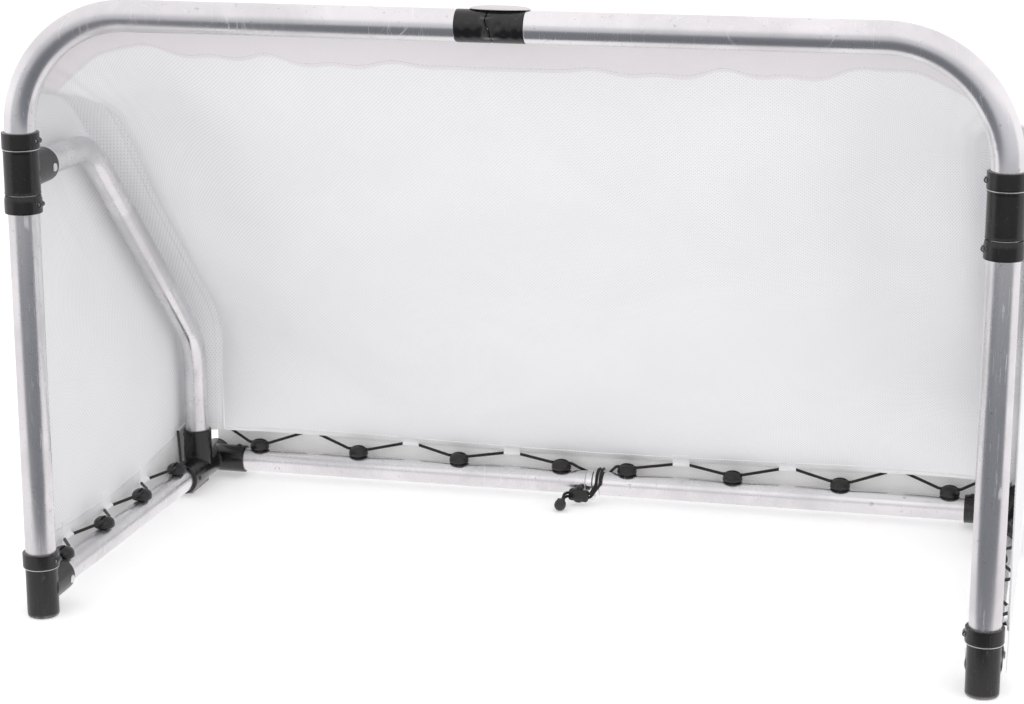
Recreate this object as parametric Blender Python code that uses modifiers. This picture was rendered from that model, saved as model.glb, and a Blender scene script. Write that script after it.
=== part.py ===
"""Folding goal of round aluminium tube with a net bag, as separate solid parts.

Units are metres and +Z is up. The goal mouth faces -Y and +X is to the right as seen from the
front. The origin is on the floor, midway between the sides and midway along the depth.

The frame is six rigid groups. The left side frame carries the rest. Each front half, an upright
bent over into half a crossbar, turns in its side frame's collars about the upright's own axis, and
the two front halves meet at an upright pin in the crossbar's front. Each rear half bar turns on a
spigot behind its side frame's rear corner, and the two rear halves meet at a pin below the bar.
Folding draws the crossbar's middle back and the rear bar's middle up, so the side frames close in.
"""
import math

import bmesh
import bpy
from mathutils import Matrix, Vector

# Main sizes of the frame
HALF_SPAN = 0.580            # upright axis to the goal's middle
CROSSBAR_Z = 0.754           # height of the crossbar's axis
LEG_Y = 0.564                # rear leg axis behind the uprights
REAR_BAR_SETBACK = 0.056     # rear bar axis behind the rear leg axis
REAR_Z = 0.025               # height of the rear bar's axis
FOOT_STUB_Z = 0.036          # height of the lower side tube where it leaves the foot
SIDE_BEND_Y = 0.2005         # where the level stretch and the slanted one would meet
LEG_BEND_Z = 0.2166          # where the slanted stretch and the rear leg would meet

# Tubes
MAIN_TUBE_R = 0.019
SIDE_TUBE_R = 0.017
TUBE_WALL = 0.0018
CROSSBAR_BEND_R = 0.140
SIDE_BEND_R = 0.100
TUBE_SIDES = 20
CROSSBAR_BEND_STEPS = 7
SIDE_BEND_STEPS = 3

# Gaps between pieces
FIT_GAP = 0.0003             # pieces fixed to each other
RUN_GAP = 0.0005             # pieces that turn on each other
RING_GAP = 0.0010            # stop rings and the fittings that turn between them

# Collars on the uprights
RING_R = 0.0228
COLLAR_R = 0.0217
COLLAR_LENGTH = 0.054
UPPER_RING_HEIGHT = 0.020
LOWER_RING_HEIGHT = 0.022
FOOT_RING_HEIGHT = 0.0185
COLLAR_BELOW_BEND = 0.050    # middle of the turning collar below the upright's bend
SIDE_TUBE_DROP = 0.0015      # level stretch of the upper side tube below the collar's middle
RING_CHAMFER = 0.0012
CLAMP_SCREW_R = 0.0034
CLAMP_SCREW_LENGTH = 0.0125
CLAMP_SCREW_REACH = 0.0222   # clamp screw boss axis from the tube's axis
STUB_R = 0.0217
COLLAR_STUB_LENGTH = 0.062   # end of the collar's stub from the upright's axis
FOOT_STUB_LENGTH = 0.0535
STUB_FLOOR = 0.0235          # closed inner end of a stub's socket from the upright's axis

# Foot
FOOT_R = 0.0200
FOOT_HEIGHT = 0.0642
FOOT_SPIGOT_LENGTH = 0.060
FOOT_CHAMFER = 0.0028

# Rear corner
CORNER_R = 0.0212
CORNER_FRONT_Y = 0.4985      # front rim of the socket for the lower side tube
LEG_SOCKET_R = 0.0204
LEG_SOCKET_TOP = 0.0840
LEG_SOCKET_FLOOR = 0.0350
LOWER_SOCKET_END_Y = 0.5400
PAD_WIDTH = 0.018
PAD_LENGTH = 0.070
SPIGOT_R = 0.0160
REAR_COLLAR_HALF = 0.0222    # half length of the rear bar's turning collar
REAR_STUB_R = 0.0198
REAR_STUB_LENGTH = 0.055
REAR_STUB_FLOOR = 0.0225
CAP_THICKNESS = 0.006
CAP_CHAMFER = 0.0010

# Middle joints, whose pins stand clear of the tubes so that the halves can close face to face
PIN_OFFSET = 0.0195
HINGE_R = 0.0190
HINGE_LENGTH = 0.0400
HINGE_PLUG_LENGTH = 0.055
KNUCKLE_R = 0.0036
KNUCKLE_LENGTH = 0.0180
PIN_R = 0.0014
REAR_RIM_R = 0.0180
REAR_RIM_LENGTH = 0.0100
REAR_KNUCKLE_R = 0.0043
REAR_KNUCKLE_LENGTH = 0.0240
REAR_PIN_R = 0.0016
PAD_TOP_LENGTH = 0.074
PAD_TOP_WIDTH = 0.020
PAD_TOP_HEIGHT = 0.0030
PAD_TOP_SHIFT = 0.0100       # pad's middle beside the goal's middle
PAD_TOP_TAPER = 0.88         # its top face as a share of its bottom face

# Lacing cord
CORD_R = 0.0021
CORD_SIDES_RESOLUTION = 2
TAB_HALF = 0.012             # half the width of the hem loop that hides the cord
TAB_OFF_HEM = 0.0038         # cord's axis from the net's middle surface in a hem loop
HEM_OVER_TAB = 0.0035        # hem above the cord's axis in a hem loop
REAR_TAB_RISE = 0.0135       # cord above the rear bar's top line in the middle hem loops
REAR_TAB_END_RISE = 0.0200   # how much higher it is at the goal's corners
SIDE_TAB_RISE = 0.0052       # cord above the lower side tube's top line in a hem loop

# Lacing hooks: domed knobs with an open slot for the cord, in four even steps on each tube
HOOK_R = 0.0140
HOOK_HEIGHT = 0.0165         # above the tube's top line
HOOK_SHOULDER = 0.0068
HOOK_BASE = 0.0008
HOOK_STEM_R = 0.0060
HOOK_SUNK = 0.0025           # stem below the tube's top line, before it is cut to the tube
HOOK_SLOT_FLOOR = 0.0080
HOOK_SLOT_SHIFT = 0.0010     # slot's middle off the hook's axis, away from the net
HOOK_DOME_TURNS = (0, 34, 63, 90)
HOOK_SIDES = 10
HOOK_COUNT = 4
REAR_HOOK_FIRST = 0.048      # from the goal's middle
REAR_HOOK_INSET = 0.076      # last hook from the side frame's plane
SIDE_HOOK_FIRST = 0.0690     # from the upright's axis
SIDE_HOOK_INSET = 0.088      # last hook from the rear leg's axis

# Cord lock at the rear bar's middle
LOCK_AT = (-0.016, 0.5895, 0.0150)
LOCK_SIZE = (0.029, 0.013, 0.020)
LOCK_BORE_R = 0.0027
LOCK_ROUNDING = 0.0035
STRAND_GAP = 0.0052          # between the two cord ends
STRAND_OVER_X = 0.0070       # first cord end on the bar's top, beside the goal's middle
STRAND_PITCH = 0.0058        # second cord end beside the first one
STRAND_STEP = 35             # degrees round the bar from one of their points to the next
STRAND_BACK = 62             # where they start behind the bar, in degrees from its top
STRAND_BEND = (-0.0055, -0.0060, -0.0010)
BUTTON_R = 0.0042
BUTTON_SEAT = 0.0064         # depth of the button's seat in the lock's top
BUTTON_SUNK = 0.0022         # how far the released button reaches into its seat
BUTTON_PROUD = 0.0035
CLIP_SIZE = (0.012, 0.018, 0.0135)
CLIP_SHIFT = (-0.0205, -0.0300, -0.0065)
CLIP_WALL = 0.0012
CLIP_ROUNDING = 0.0040

# Net bag
NET_THICKNESS = 0.0014
NET_BEHIND_BAR = 0.0240      # net behind the crossbar's and the uprights' axes
NET_OVER_BAR = 0.0020        # net's top edge above the crossbar's axis
TOP_EDGE_TURN = 78           # degrees of the crossbar's bend that the net's top edge follows
NET_OUTSIDE = 0.0262         # side net outside the side frame's plane
SIDE_NET_FRONT_Y = 0.0285    # side net's front edge behind the upright's axis
SIDE_NET_TOP = 0.040         # its top above the collar's middle
SIDE_HEM_FRONT_Z = 0.0700
SIDE_HEM_SAG = 0.0215        # hem of the side net below the line between its ends
HEM_BEHIND_BAR = 0.0185      # hem behind the rear bar's axis
NET_SPLIT = 0.50             # share of the slope where the net's upper and lower parts meet
NET_SAG = 0.022
SAG_LEAN = 0.35              # how much of the sag goes forward
FOLD_DEPTH = 0.0026
BACK_WAVES = ((9.0, 2.4, 1.0), (21.0, -5.0, 0.6))
SIDE_WAVES = (-6.0, 11.0)
TOP_TURN_IN = 0.12           # share of the side net's height over which it leans in to the collar
EDGE_SHARPNESS = 6           # how close to an edge the net starts to turn towards it
NET_MIDDLE_GAP = 0.0012      # share left open where two pieces of the back net meet
NET_SEAM_SHARE = 0.993       # share of a sheet's width that reaches towards the side seam
NET_FLAT_SHARE = 0.980       # share of the side net's depth up to its fold
NET_COLUMNS = 9
NET_ROWS = 8

# Seam between the back net and a side net, from its top down
SEAM_TOP_OUT = 0.018         # outside the side frame's plane
SEAM_TOP_Y = 0.052
SEAM_TOP_RISE = 0.090        # above the collar's middle
SEAM_SHOULDER_IN = 0.020
SEAM_SHOULDER_Y = 0.130
SEAM_SHOULDER_RISE = 0.078
SEAM_INSET = 0.030           # inside the side frame's plane, from the side tube's bend down
SEAM_BEHIND_BEND = 0.024
SEAM_OVER_BEND = 0.046
SEAM_OFF_SLANT = 0.043
SEAM_SLANT_SHARES = (0.38, 0.72)
SEAM_BEHIND_KNEE = 0.026
SEAM_OVER_KNEE = 0.030
SEAM_BEHIND_LEG = 0.030
SEAM_LOW_Z = 0.150

# Places that follow from the sizes above
COLLAR_Z = CROSSBAR_Z - CROSSBAR_BEND_R - COLLAR_BELOW_BEND
SIDE_TUBE_Z = COLLAR_Z - SIDE_TUBE_DROP
REAR_BAR_Y = LEG_Y + REAR_BAR_SETBACK
REAR_HOOK_PITCH = (HALF_SPAN - REAR_HOOK_INSET - REAR_HOOK_FIRST) / (HOOK_COUNT - 1)
SIDE_HOOK_PITCH = (LEG_Y - SIDE_HOOK_INSET - SIDE_HOOK_FIRST) / (HOOK_COUNT - 1)
REAR_HOOK_X = tuple(REAR_HOOK_FIRST + i * REAR_HOOK_PITCH for i in range(HOOK_COUNT))
SIDE_HOOK_Y = tuple(SIDE_HOOK_FIRST + i * SIDE_HOOK_PITCH for i in range(HOOK_COUNT))
CORD_OVER_TUBE = HOOK_SLOT_FLOOR + CORD_R + FIT_GAP

# The goal's y coordinates start at the uprights, and all parts hang from one origin empty
FRONT_REACH = PIN_OFFSET + KNUCKLE_R
BACK_REACH = REAR_BAR_Y + REAR_COLLAR_HALF + RUN_GAP + CAP_THICKNESS
ORIGIN_Y = (FRONT_REACH - BACK_REACH) / 2

X_AXIS = Vector((1, 0, 0))
Y_AXIS = Vector((0, 1, 0))
Z_AXIS = Vector((0, 0, 1))

SIDES = {"left": -1, "right": 1}


def clear_scene():
    """Removes every object of the open scene."""
    for obj in list(bpy.data.objects):
        bpy.data.objects.remove(obj, do_unlink=True)


def new_collection(name):
    """Makes a collection under the scene's own."""
    collection = bpy.data.collections.new(name)
    bpy.context.scene.collection.children.link(collection)
    return collection


clear_scene()
PARTS = new_collection("folding_goal")
CUTTERS = new_collection("cutters")

PALETTE = {
    "aluminium": ((0.80, 0.80, 0.82), 0.34, 1.0),
    "black_plastic": ((0.030, 0.029, 0.031), 0.42, 0.0),
    "cord_black": ((0.012, 0.012, 0.013), 0.80, 0.0),
    "net_white": ((0.82, 0.82, 0.85), 0.90, 0.0),
    "steel": ((0.62, 0.62, 0.63), 0.30, 1.0),
    "white_plastic": ((0.86, 0.86, 0.86), 0.50, 0.0),
}


def material_for(name, finish):
    """One Principled material for a part, in one of the goal's finishes."""
    color, roughness, metallic = PALETTE[finish]
    material = bpy.data.materials.new(name)
    material.use_nodes = True
    shader = material.node_tree.nodes["Principled BSDF"]
    shader.inputs["Base Color"].default_value = (*color, 1.0)
    shader.inputs["Roughness"].default_value = roughness
    shader.inputs["Metallic"].default_value = metallic
    material.diffuse_color = (*color, 1.0)
    return material


def make_empty(name, location, parent=None):
    """Adds an empty that parts hang from, at a place in the goal's own coordinates."""
    empty = bpy.data.objects.new(name, None)
    PARTS.objects.link(empty)
    empty.empty_display_size = 0.05
    empty.location = location
    if parent is not None:
        empty.parent = parent
    return empty


ORIGIN = make_empty("goal_origin", (0, ORIGIN_Y, 0))

JOINT_AT = {
    "left_side": Vector((-HALF_SPAN, 0, 0)),
    "right_side": Vector((HALF_SPAN, 0, 0)),
    "front_left": Vector((-HALF_SPAN, 0, CROSSBAR_Z)),
    "front_right": Vector((0, -PIN_OFFSET, CROSSBAR_Z)),
    "rear_left": Vector((-HALF_SPAN, REAR_BAR_Y, REAR_Z)),
    "rear_right": Vector((0, REAR_BAR_Y, REAR_Z - PIN_OFFSET)),
}
JOINTS = {name: make_empty("axis_" + name, place, ORIGIN) for name, place in JOINT_AT.items()}


def put(obj, group, at, axis=None):
    """Hangs an object from its group's empty, at a place in the goal's coordinates.

    axis turns the object's own +Z to that direction.
    """
    obj.parent = JOINTS[group]
    obj.location = Vector(at) - JOINT_AT[group]
    if axis is not None:
        obj.rotation_mode = "QUATERNION"
        obj.rotation_quaternion = Vector(axis).to_track_quat("Z", "Y")
    return obj


def add_part(name, mesh, finish):
    """Adds a finished part with its own material."""
    obj = bpy.data.objects.new(name, mesh)
    PARTS.objects.link(obj)
    mesh.materials.clear()
    mesh.materials.append(material_for(name, finish))
    return obj


def add_tool(name, mesh):
    """Adds a shape that only cuts or joins others."""
    obj = bpy.data.objects.new(name, mesh)
    CUTTERS.objects.link(obj)
    obj.hide_render = True
    obj.display_type = "WIRE"
    return obj


def profile_mesh(name, profile, closed):
    """Mesh of a profile of (radius, height) points in the XZ plane."""
    mesh = bpy.data.meshes.new(name)
    count = len(profile)
    edges = [(i, i + 1) for i in range(count - 1)]
    if closed:
        edges.append((count - 1, 0))
    mesh.from_pydata([(r, 0.0, z) for r, z in profile], edges, [])
    return mesh


def add_turning(obj, sides=TUBE_SIDES):
    """Spins an object's profile once round its own Z."""
    screw = obj.modifiers.new("turned", "SCREW")
    screw.steps = sides
    screw.render_steps = sides
    screw.use_merge_vertices = True
    screw.merge_threshold = 0.00005
    screw.use_smooth_shade = True
    return screw


def rod_profile(radius, low, high, chamfer=0.0):
    """Profile of a solid rod, run from the top's middle down its outer side."""
    if chamfer <= 0:
        return [(0, high), (radius, high), (radius, low), (0, low)]
    return [(0, high), (radius - chamfer, high), (radius, high - chamfer),
            (radius, low + chamfer), (radius - chamfer, low), (0, low)]


def ring_profile(outer, inner, low, high, chamfer=0.0):
    """Closed profile of a ring with a chamfer round its top."""
    return [(outer - chamfer, high), (outer, high - chamfer), (outer, low), (inner, low), (inner, high)]


def turned_tool(name, profile, group, at, axis=None, sides=TUBE_SIDES):
    """A turned shape for a Boolean, hung like the part that it works on."""
    tool = add_tool(name, profile_mesh(name, profile, False))
    add_turning(tool, sides)
    return put(tool, group, at, axis)


def combine(obj, tool, operation):
    """Adds a Boolean of one of the working shapes to a part."""
    boolean = obj.modifiers.new(tool.name, "BOOLEAN")
    boolean.operation = operation
    boolean.solver = "EXACT"
    boolean.object = tool
    return boolean


def box_tool(name, size, group, at):
    """A box for a Boolean, hung like the part that it works on."""
    mesh = bpy.data.meshes.new(name)
    body = bmesh.new()
    bmesh.ops.create_cube(body, size=1.0, matrix=Matrix.Diagonal((*size, 1.0)))
    body.to_mesh(mesh)
    body.free()
    return put(add_tool(name, mesh), group, at)


def bent_route(corners, radii, steps):
    """Points of a route with its inner corners rounded by arcs.

    corners holds the route's points, and radii and steps one value for each inner corner.
    """
    points = [Vector(corners[0])]
    for i in range(1, len(corners) - 1):
        corner = Vector(corners[i])
        back = (Vector(corners[i - 1]) - corner).normalized()
        ahead = (Vector(corners[i + 1]) - corner).normalized()
        half = back.angle(ahead) / 2
        reach = radii[i - 1] / math.tan(half)
        centre = corner + (back + ahead).normalized() * (radii[i - 1] / math.sin(half))
        start = corner + back * reach - centre
        end = corner + ahead * reach - centre
        turn = start.angle(end)
        for k in range(steps[i - 1] + 1):
            share = k / steps[i - 1]
            arc = (start * math.sin((1 - share) * turn) + end * math.sin(share * turn)) / math.sin(turn)
            points.append(centre + arc)
    points.append(Vector(corners[-1]))
    return points


def route_curve(name, points, radius, resolution, caps):
    """A round curve object along a list of points."""
    curve = bpy.data.curves.new(name, "CURVE")
    curve.dimensions = "3D"
    curve.bevel_depth = radius
    curve.bevel_resolution = resolution
    curve.use_fill_caps = caps
    spline = curve.splines.new("POLY")
    spline.points.add(len(points) - 1)
    for point, place in zip(spline.points, points):
        point.co = (*place, 1.0)
    return curve


def make_tube(name, group, points, radius):
    """A hollow aluminium tube along a route, open at both ends."""
    place = Vector(points[0])
    local = [Vector(point) - place for point in points]
    curve = route_curve(name, local, radius, TUBE_SIDES // 2 - 2, False)
    guide = bpy.data.objects.new(name + "_guide", curve)
    CUTTERS.objects.link(guide)
    bpy.context.view_layer.update()
    evaluated = guide.evaluated_get(bpy.context.evaluated_depsgraph_get())
    mesh = bpy.data.meshes.new_from_object(evaluated)
    mesh.name = name
    bpy.data.objects.remove(guide, do_unlink=True)
    tube = add_part(name, mesh, "aluminium")
    wall = tube.modifiers.new("wall", "SOLIDIFY")
    wall.thickness = TUBE_WALL
    wall.offset = -1.0
    wall.use_even_offset = True
    mesh.shade_smooth()
    return put(tube, group, place)


def make_cord(name, group, points):
    """A round cord along a list of points."""
    place = Vector(points[0])
    local = [Vector(point) - place for point in points]
    curve = route_curve(name, local, CORD_R, CORD_SIDES_RESOLUTION, True)
    cord = bpy.data.objects.new(name, curve)
    PARTS.objects.link(cord)
    curve.materials.append(material_for(name, "cord_black"))
    return put(cord, group, place)


def make_stop_ring(name, group, side, low, height):
    """A ring clamped on an upright, with its clamp screw's boss on the inner side."""
    axis_x = side * HALF_SPAN
    profile = ring_profile(RING_R, MAIN_TUBE_R + FIT_GAP, 0, height, RING_CHAMFER)
    ring = add_part(name, profile_mesh(name, profile, True), "black_plastic")
    add_turning(ring)
    put(ring, group, (axis_x, 0, low))
    half = CLAMP_SCREW_LENGTH / 2
    boss_at = (axis_x - side * CLAMP_SCREW_REACH, 0, low + height / 2)
    boss = turned_tool(name + "_boss", rod_profile(CLAMP_SCREW_R, -half, half), group, boss_at, Y_AXIS, 8)
    combine(ring, boss, "UNION")
    bore = turned_tool(name + "_bore", rod_profile(MAIN_TUBE_R + FIT_GAP, -height, 2 * height),
                       group, (axis_x, 0, low))
    combine(ring, bore, "DIFFERENCE")
    return ring


def add_stub(part, group, at, direction, radius, length, floor, tube_line):
    """Joins a round stub to a fitting, with a blind socket for a tube.

    tube_line holds two points of the tube's axis, which may lean a little from the stub's.
    """
    direction = Vector(direction)
    stub = turned_tool(part.name + "_stub", rod_profile(radius, 0, length, RING_CHAMFER), group, at,
                       direction)
    combine(part, stub, "UNION")
    start, end = (Vector(point) for point in tube_line)
    line = (end - start).normalized()
    place = Vector(at)
    base = start + line * (floor - (start - place).dot(direction)) / line.dot(direction)
    socket = turned_tool(part.name + "_socket", rod_profile(SIDE_TUBE_R + FIT_GAP, 0, 2 * length),
                         group, base, line)
    return socket


def make_collar(name, side):
    """The upper collar that turns on an upright and holds the upper side tube."""
    group = name.split("_")[0] + "_side"
    at = Vector((side * HALF_SPAN, 0, COLLAR_Z))
    half = COLLAR_LENGTH / 2
    collar = add_part(name, profile_mesh(name, rod_profile(COLLAR_R, -half, half, RING_CHAMFER / 2), False),
                      "black_plastic")
    add_turning(collar)
    put(collar, group, at)
    stub_at = (at.x, 0, SIDE_TUBE_Z)
    line = (stub_at, (at.x, COLLAR_STUB_LENGTH, SIDE_TUBE_Z))
    socket = add_stub(collar, group, stub_at, Y_AXIS, STUB_R, COLLAR_STUB_LENGTH, STUB_FLOOR, line)
    bore = turned_tool(name + "_bore", rod_profile(MAIN_TUBE_R + RUN_GAP, -COLLAR_LENGTH, COLLAR_LENGTH),
                       group, at)
    combine(collar, bore, "DIFFERENCE")
    combine(collar, socket, "DIFFERENCE")
    return collar


def lower_tube_line(side):
    """Two points of the lower side tube's axis, which leans down a little to the rear."""
    x = side * HALF_SPAN
    return (Vector((x, FOOT_STUB_LENGTH, FOOT_STUB_Z)), Vector((x, CORNER_FRONT_Y, REAR_Z)))


def make_foot(name, side):
    """The foot that an upright turns on, with the stub for the lower side tube."""
    group = name.split("_")[0] + "_side"
    at = Vector((side * HALF_SPAN, 0, 0))
    spigot_r = MAIN_TUBE_R - TUBE_WALL - RUN_GAP
    profile = [(0, FOOT_HEIGHT + FOOT_SPIGOT_LENGTH), (spigot_r, FOOT_HEIGHT + FOOT_SPIGOT_LENGTH),
               (spigot_r, FOOT_HEIGHT), (FOOT_R, FOOT_HEIGHT), (FOOT_R, FOOT_CHAMFER),
               (FOOT_R - FOOT_CHAMFER, 0), (0, 0)]
    foot = add_part(name, profile_mesh(name, profile, False), "black_plastic")
    add_turning(foot)
    put(foot, group, at)
    socket = add_stub(foot, group, (at.x, 0, FOOT_STUB_Z), Y_AXIS, STUB_R, FOOT_STUB_LENGTH, STUB_FLOOR,
                      lower_tube_line(side))
    combine(foot, socket, "DIFFERENCE")
    return foot


def make_corner(name, side):
    """The rear corner: sockets for the leg and the lower side tube, and the rear bar's spigot."""
    group = name.split("_")[0] + "_side"
    x = side * HALF_SPAN
    body_end = REAR_BAR_Y - REAR_COLLAR_HALF - RUN_GAP
    spigot_end = REAR_BAR_Y + REAR_COLLAR_HALF + RUN_GAP - FIT_GAP
    profile = [(0, spigot_end - CORNER_FRONT_Y), (SPIGOT_R, spigot_end - CORNER_FRONT_Y),
               (SPIGOT_R, body_end - CORNER_FRONT_Y), (CORNER_R, body_end - CORNER_FRONT_Y),
               (CORNER_R, RING_CHAMFER), (CORNER_R - RING_CHAMFER, 0), (0, 0)]
    corner = add_part(name, profile_mesh(name, profile, False), "black_plastic")
    add_turning(corner)
    put(corner, group, (x, CORNER_FRONT_Y, REAR_Z), Y_AXIS)
    post = turned_tool(name + "_post", rod_profile(LEG_SOCKET_R, 0, LEG_SOCKET_TOP - REAR_Z, RING_CHAMFER),
                       group, (x, LEG_Y, REAR_Z))
    combine(corner, post, "UNION")
    pad = box_tool(name + "_pad", (PAD_WIDTH, PAD_LENGTH, REAR_Z), group,
                   (x, (CORNER_FRONT_Y + body_end) / 2, REAR_Z / 2))
    combine(corner, pad, "UNION")
    leg_socket = turned_tool(name + "_leg_socket", rod_profile(SIDE_TUBE_R + FIT_GAP, 0, LEG_SOCKET_TOP),
                             group, (x, LEG_Y, LEG_SOCKET_FLOOR))
    combine(corner, leg_socket, "DIFFERENCE")
    start, end = lower_tube_line(side)
    line = (start - end).normalized()
    socket_at = end - line * (LOWER_SOCKET_END_Y - CORNER_FRONT_Y)
    socket = turned_tool(name + "_socket", rod_profile(SIDE_TUBE_R + FIT_GAP, 0, CORNER_FRONT_Y / 2),
                         group, socket_at, line)
    combine(corner, socket, "DIFFERENCE")
    return corner


def make_spigot_cap(name, side):
    """The cap that keeps the rear bar's collar on its spigot."""
    group = name.split("_")[0] + "_side"
    profile = rod_profile(CORNER_R, 0, CAP_THICKNESS, CAP_CHAMFER)
    cap = add_part(name, profile_mesh(name, profile, False), "black_plastic")
    add_turning(cap)
    return put(cap, group, (side * HALF_SPAN, REAR_BAR_Y + REAR_COLLAR_HALF + RUN_GAP, REAR_Z), Y_AXIS)


def make_side_tubes(word, side):
    """The bent upper side tube, which is also the rear leg, and the straight lower one."""
    group = word + "_side"
    x = side * HALF_SPAN
    corners = [(x, STUB_FLOOR + FIT_GAP, SIDE_TUBE_Z), (x, SIDE_BEND_Y, SIDE_TUBE_Z),
               (x, LEG_Y, LEG_BEND_Z), (x, LEG_Y, LEG_SOCKET_FLOOR + FIT_GAP)]
    route = bent_route(corners, (SIDE_BEND_R, SIDE_BEND_R), (SIDE_BEND_STEPS, SIDE_BEND_STEPS))
    make_tube(word + "_side_tube", group, route, SIDE_TUBE_R)
    start, end = lower_tube_line(side)
    line = (end - start).normalized()
    front = start - line * (FOOT_STUB_LENGTH - STUB_FLOOR - 2 * FIT_GAP)
    back = end + line * (LOWER_SOCKET_END_Y - CORNER_FRONT_Y - FIT_GAP)
    make_tube(word + "_lower_tube", group, [front, back], SIDE_TUBE_R)


def make_front_tube(word, side):
    """An upright bent over into half of the crossbar."""
    x = side * HALF_SPAN
    end_x = side * (HINGE_LENGTH + FIT_GAP)
    corners = [(x, 0, FOOT_HEIGHT + RUN_GAP), (x, 0, CROSSBAR_Z), (end_x, 0, CROSSBAR_Z)]
    route = bent_route(corners, (CROSSBAR_BEND_R,), (CROSSBAR_BEND_STEPS,))
    make_tube("front_" + word + "_tube", "front_" + word, route, MAIN_TUBE_R)


def make_crossbar_hinge(word, side):
    """Half of the crossbar's middle joint: a plug in the tube, a sleeve and one knuckle."""
    group = "front_" + word
    name = "crossbar_hinge_" + word
    plug_r = MAIN_TUBE_R - TUBE_WALL - FIT_GAP
    face = HINGE_LENGTH - RUN_GAP
    profile = [(0, face), (HINGE_R - RING_CHAMFER / 2, face), (HINGE_R, face - RING_CHAMFER / 2),
               (HINGE_R, 0), (plug_r, 0), (plug_r, -HINGE_PLUG_LENGTH), (0, -HINGE_PLUG_LENGTH)]
    hinge = add_part(name, profile_mesh(name, profile, False), "black_plastic")
    add_turning(hinge)
    put(hinge, group, (side * HINGE_LENGTH, 0, CROSSBAR_Z), X_AXIS * -side)
    pin_at = Vector((0, -PIN_OFFSET, CROSSBAR_Z))
    reach = KNUCKLE_LENGTH / 2
    if side < 0:
        own, other = (-reach, -RUN_GAP / 2), (-RUN_GAP / 2, 2 * reach)
    else:
        own, other = (RUN_GAP / 2, reach), (-2 * reach, RUN_GAP / 2)
    knuckle = turned_tool(name + "_knuckle", rod_profile(KNUCKLE_R, *own), group, pin_at, None, 16)
    combine(hinge, knuckle, "UNION")
    room = turned_tool(name + "_room", rod_profile(KNUCKLE_R + RUN_GAP, *other), group, pin_at, None, 16)
    combine(hinge, room, "DIFFERENCE")
    bore = turned_tool(name + "_bore", rod_profile(PIN_R + FIT_GAP, -2 * reach, 2 * reach), group, pin_at,
                       None, 12)
    combine(hinge, bore, "DIFFERENCE")
    return hinge


def make_crossbar_pin():
    """The upright pin of the crossbar's middle joint."""
    half = KNUCKLE_LENGTH / 2
    name = "crossbar_pin"
    pin = add_part(name, profile_mesh(name, rod_profile(PIN_R, -half, half, PIN_R / 4), False), "steel")
    add_turning(pin, 12)
    return put(pin, "front_left", (0, -PIN_OFFSET, CROSSBAR_Z))


def make_crossbar_pad():
    """The low oval pad on top of the crossbar's middle joint, fixed to the right half."""
    name = "crossbar_pad"
    mesh = bpy.data.meshes.new(name)
    pad = bmesh.new()
    bmesh.ops.create_cone(pad, cap_ends=True, segments=24, radius1=0.5,
                          radius2=0.5 * PAD_TOP_TAPER, depth=1.0)
    bmesh.ops.transform(pad, matrix=Matrix.Diagonal((PAD_TOP_LENGTH, PAD_TOP_WIDTH, PAD_TOP_HEIGHT, 1.0)),
                        verts=pad.verts)
    pad.to_mesh(mesh)
    pad.free()
    part = add_part(name, mesh, "white_plastic")
    at = (PAD_TOP_SHIFT, 0, CROSSBAR_Z + MAIN_TUBE_R + FIT_GAP + PAD_TOP_HEIGHT / 2)
    return put(part, "front_right", at)


def make_rear_collar(word, side):
    """The collar that turns on the rear spigot and holds a rear half bar."""
    group = "rear_" + word
    name = "rear_" + word + "_collar"
    at = Vector((side * HALF_SPAN, REAR_BAR_Y, REAR_Z))
    profile = rod_profile(CORNER_R, -REAR_COLLAR_HALF, REAR_COLLAR_HALF, RING_CHAMFER)
    collar = add_part(name, profile_mesh(name, profile, False), "black_plastic")
    add_turning(collar)
    put(collar, group, at, Y_AXIS)
    inward = X_AXIS * -side
    line = (at, at + inward)
    socket = add_stub(collar, group, at, inward, REAR_STUB_R, REAR_STUB_LENGTH, REAR_STUB_FLOOR, line)
    ends = (-2 * REAR_COLLAR_HALF, 2 * REAR_COLLAR_HALF)
    bore = turned_tool(name + "_bore", rod_profile(SPIGOT_R + RUN_GAP, *ends), group, at, Y_AXIS)
    combine(collar, bore, "DIFFERENCE")
    combine(collar, socket, "DIFFERENCE")
    return collar


def make_rear_tube(word, side):
    """Half of the rear bar."""
    outer = side * (HALF_SPAN - REAR_STUB_FLOOR - FIT_GAP)
    inner = side * (REAR_RIM_LENGTH + FIT_GAP)
    points = [(outer, REAR_BAR_Y, REAR_Z), (inner, REAR_BAR_Y, REAR_Z)]
    make_tube("rear_" + word + "_tube", "rear_" + word, points, SIDE_TUBE_R)


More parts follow.
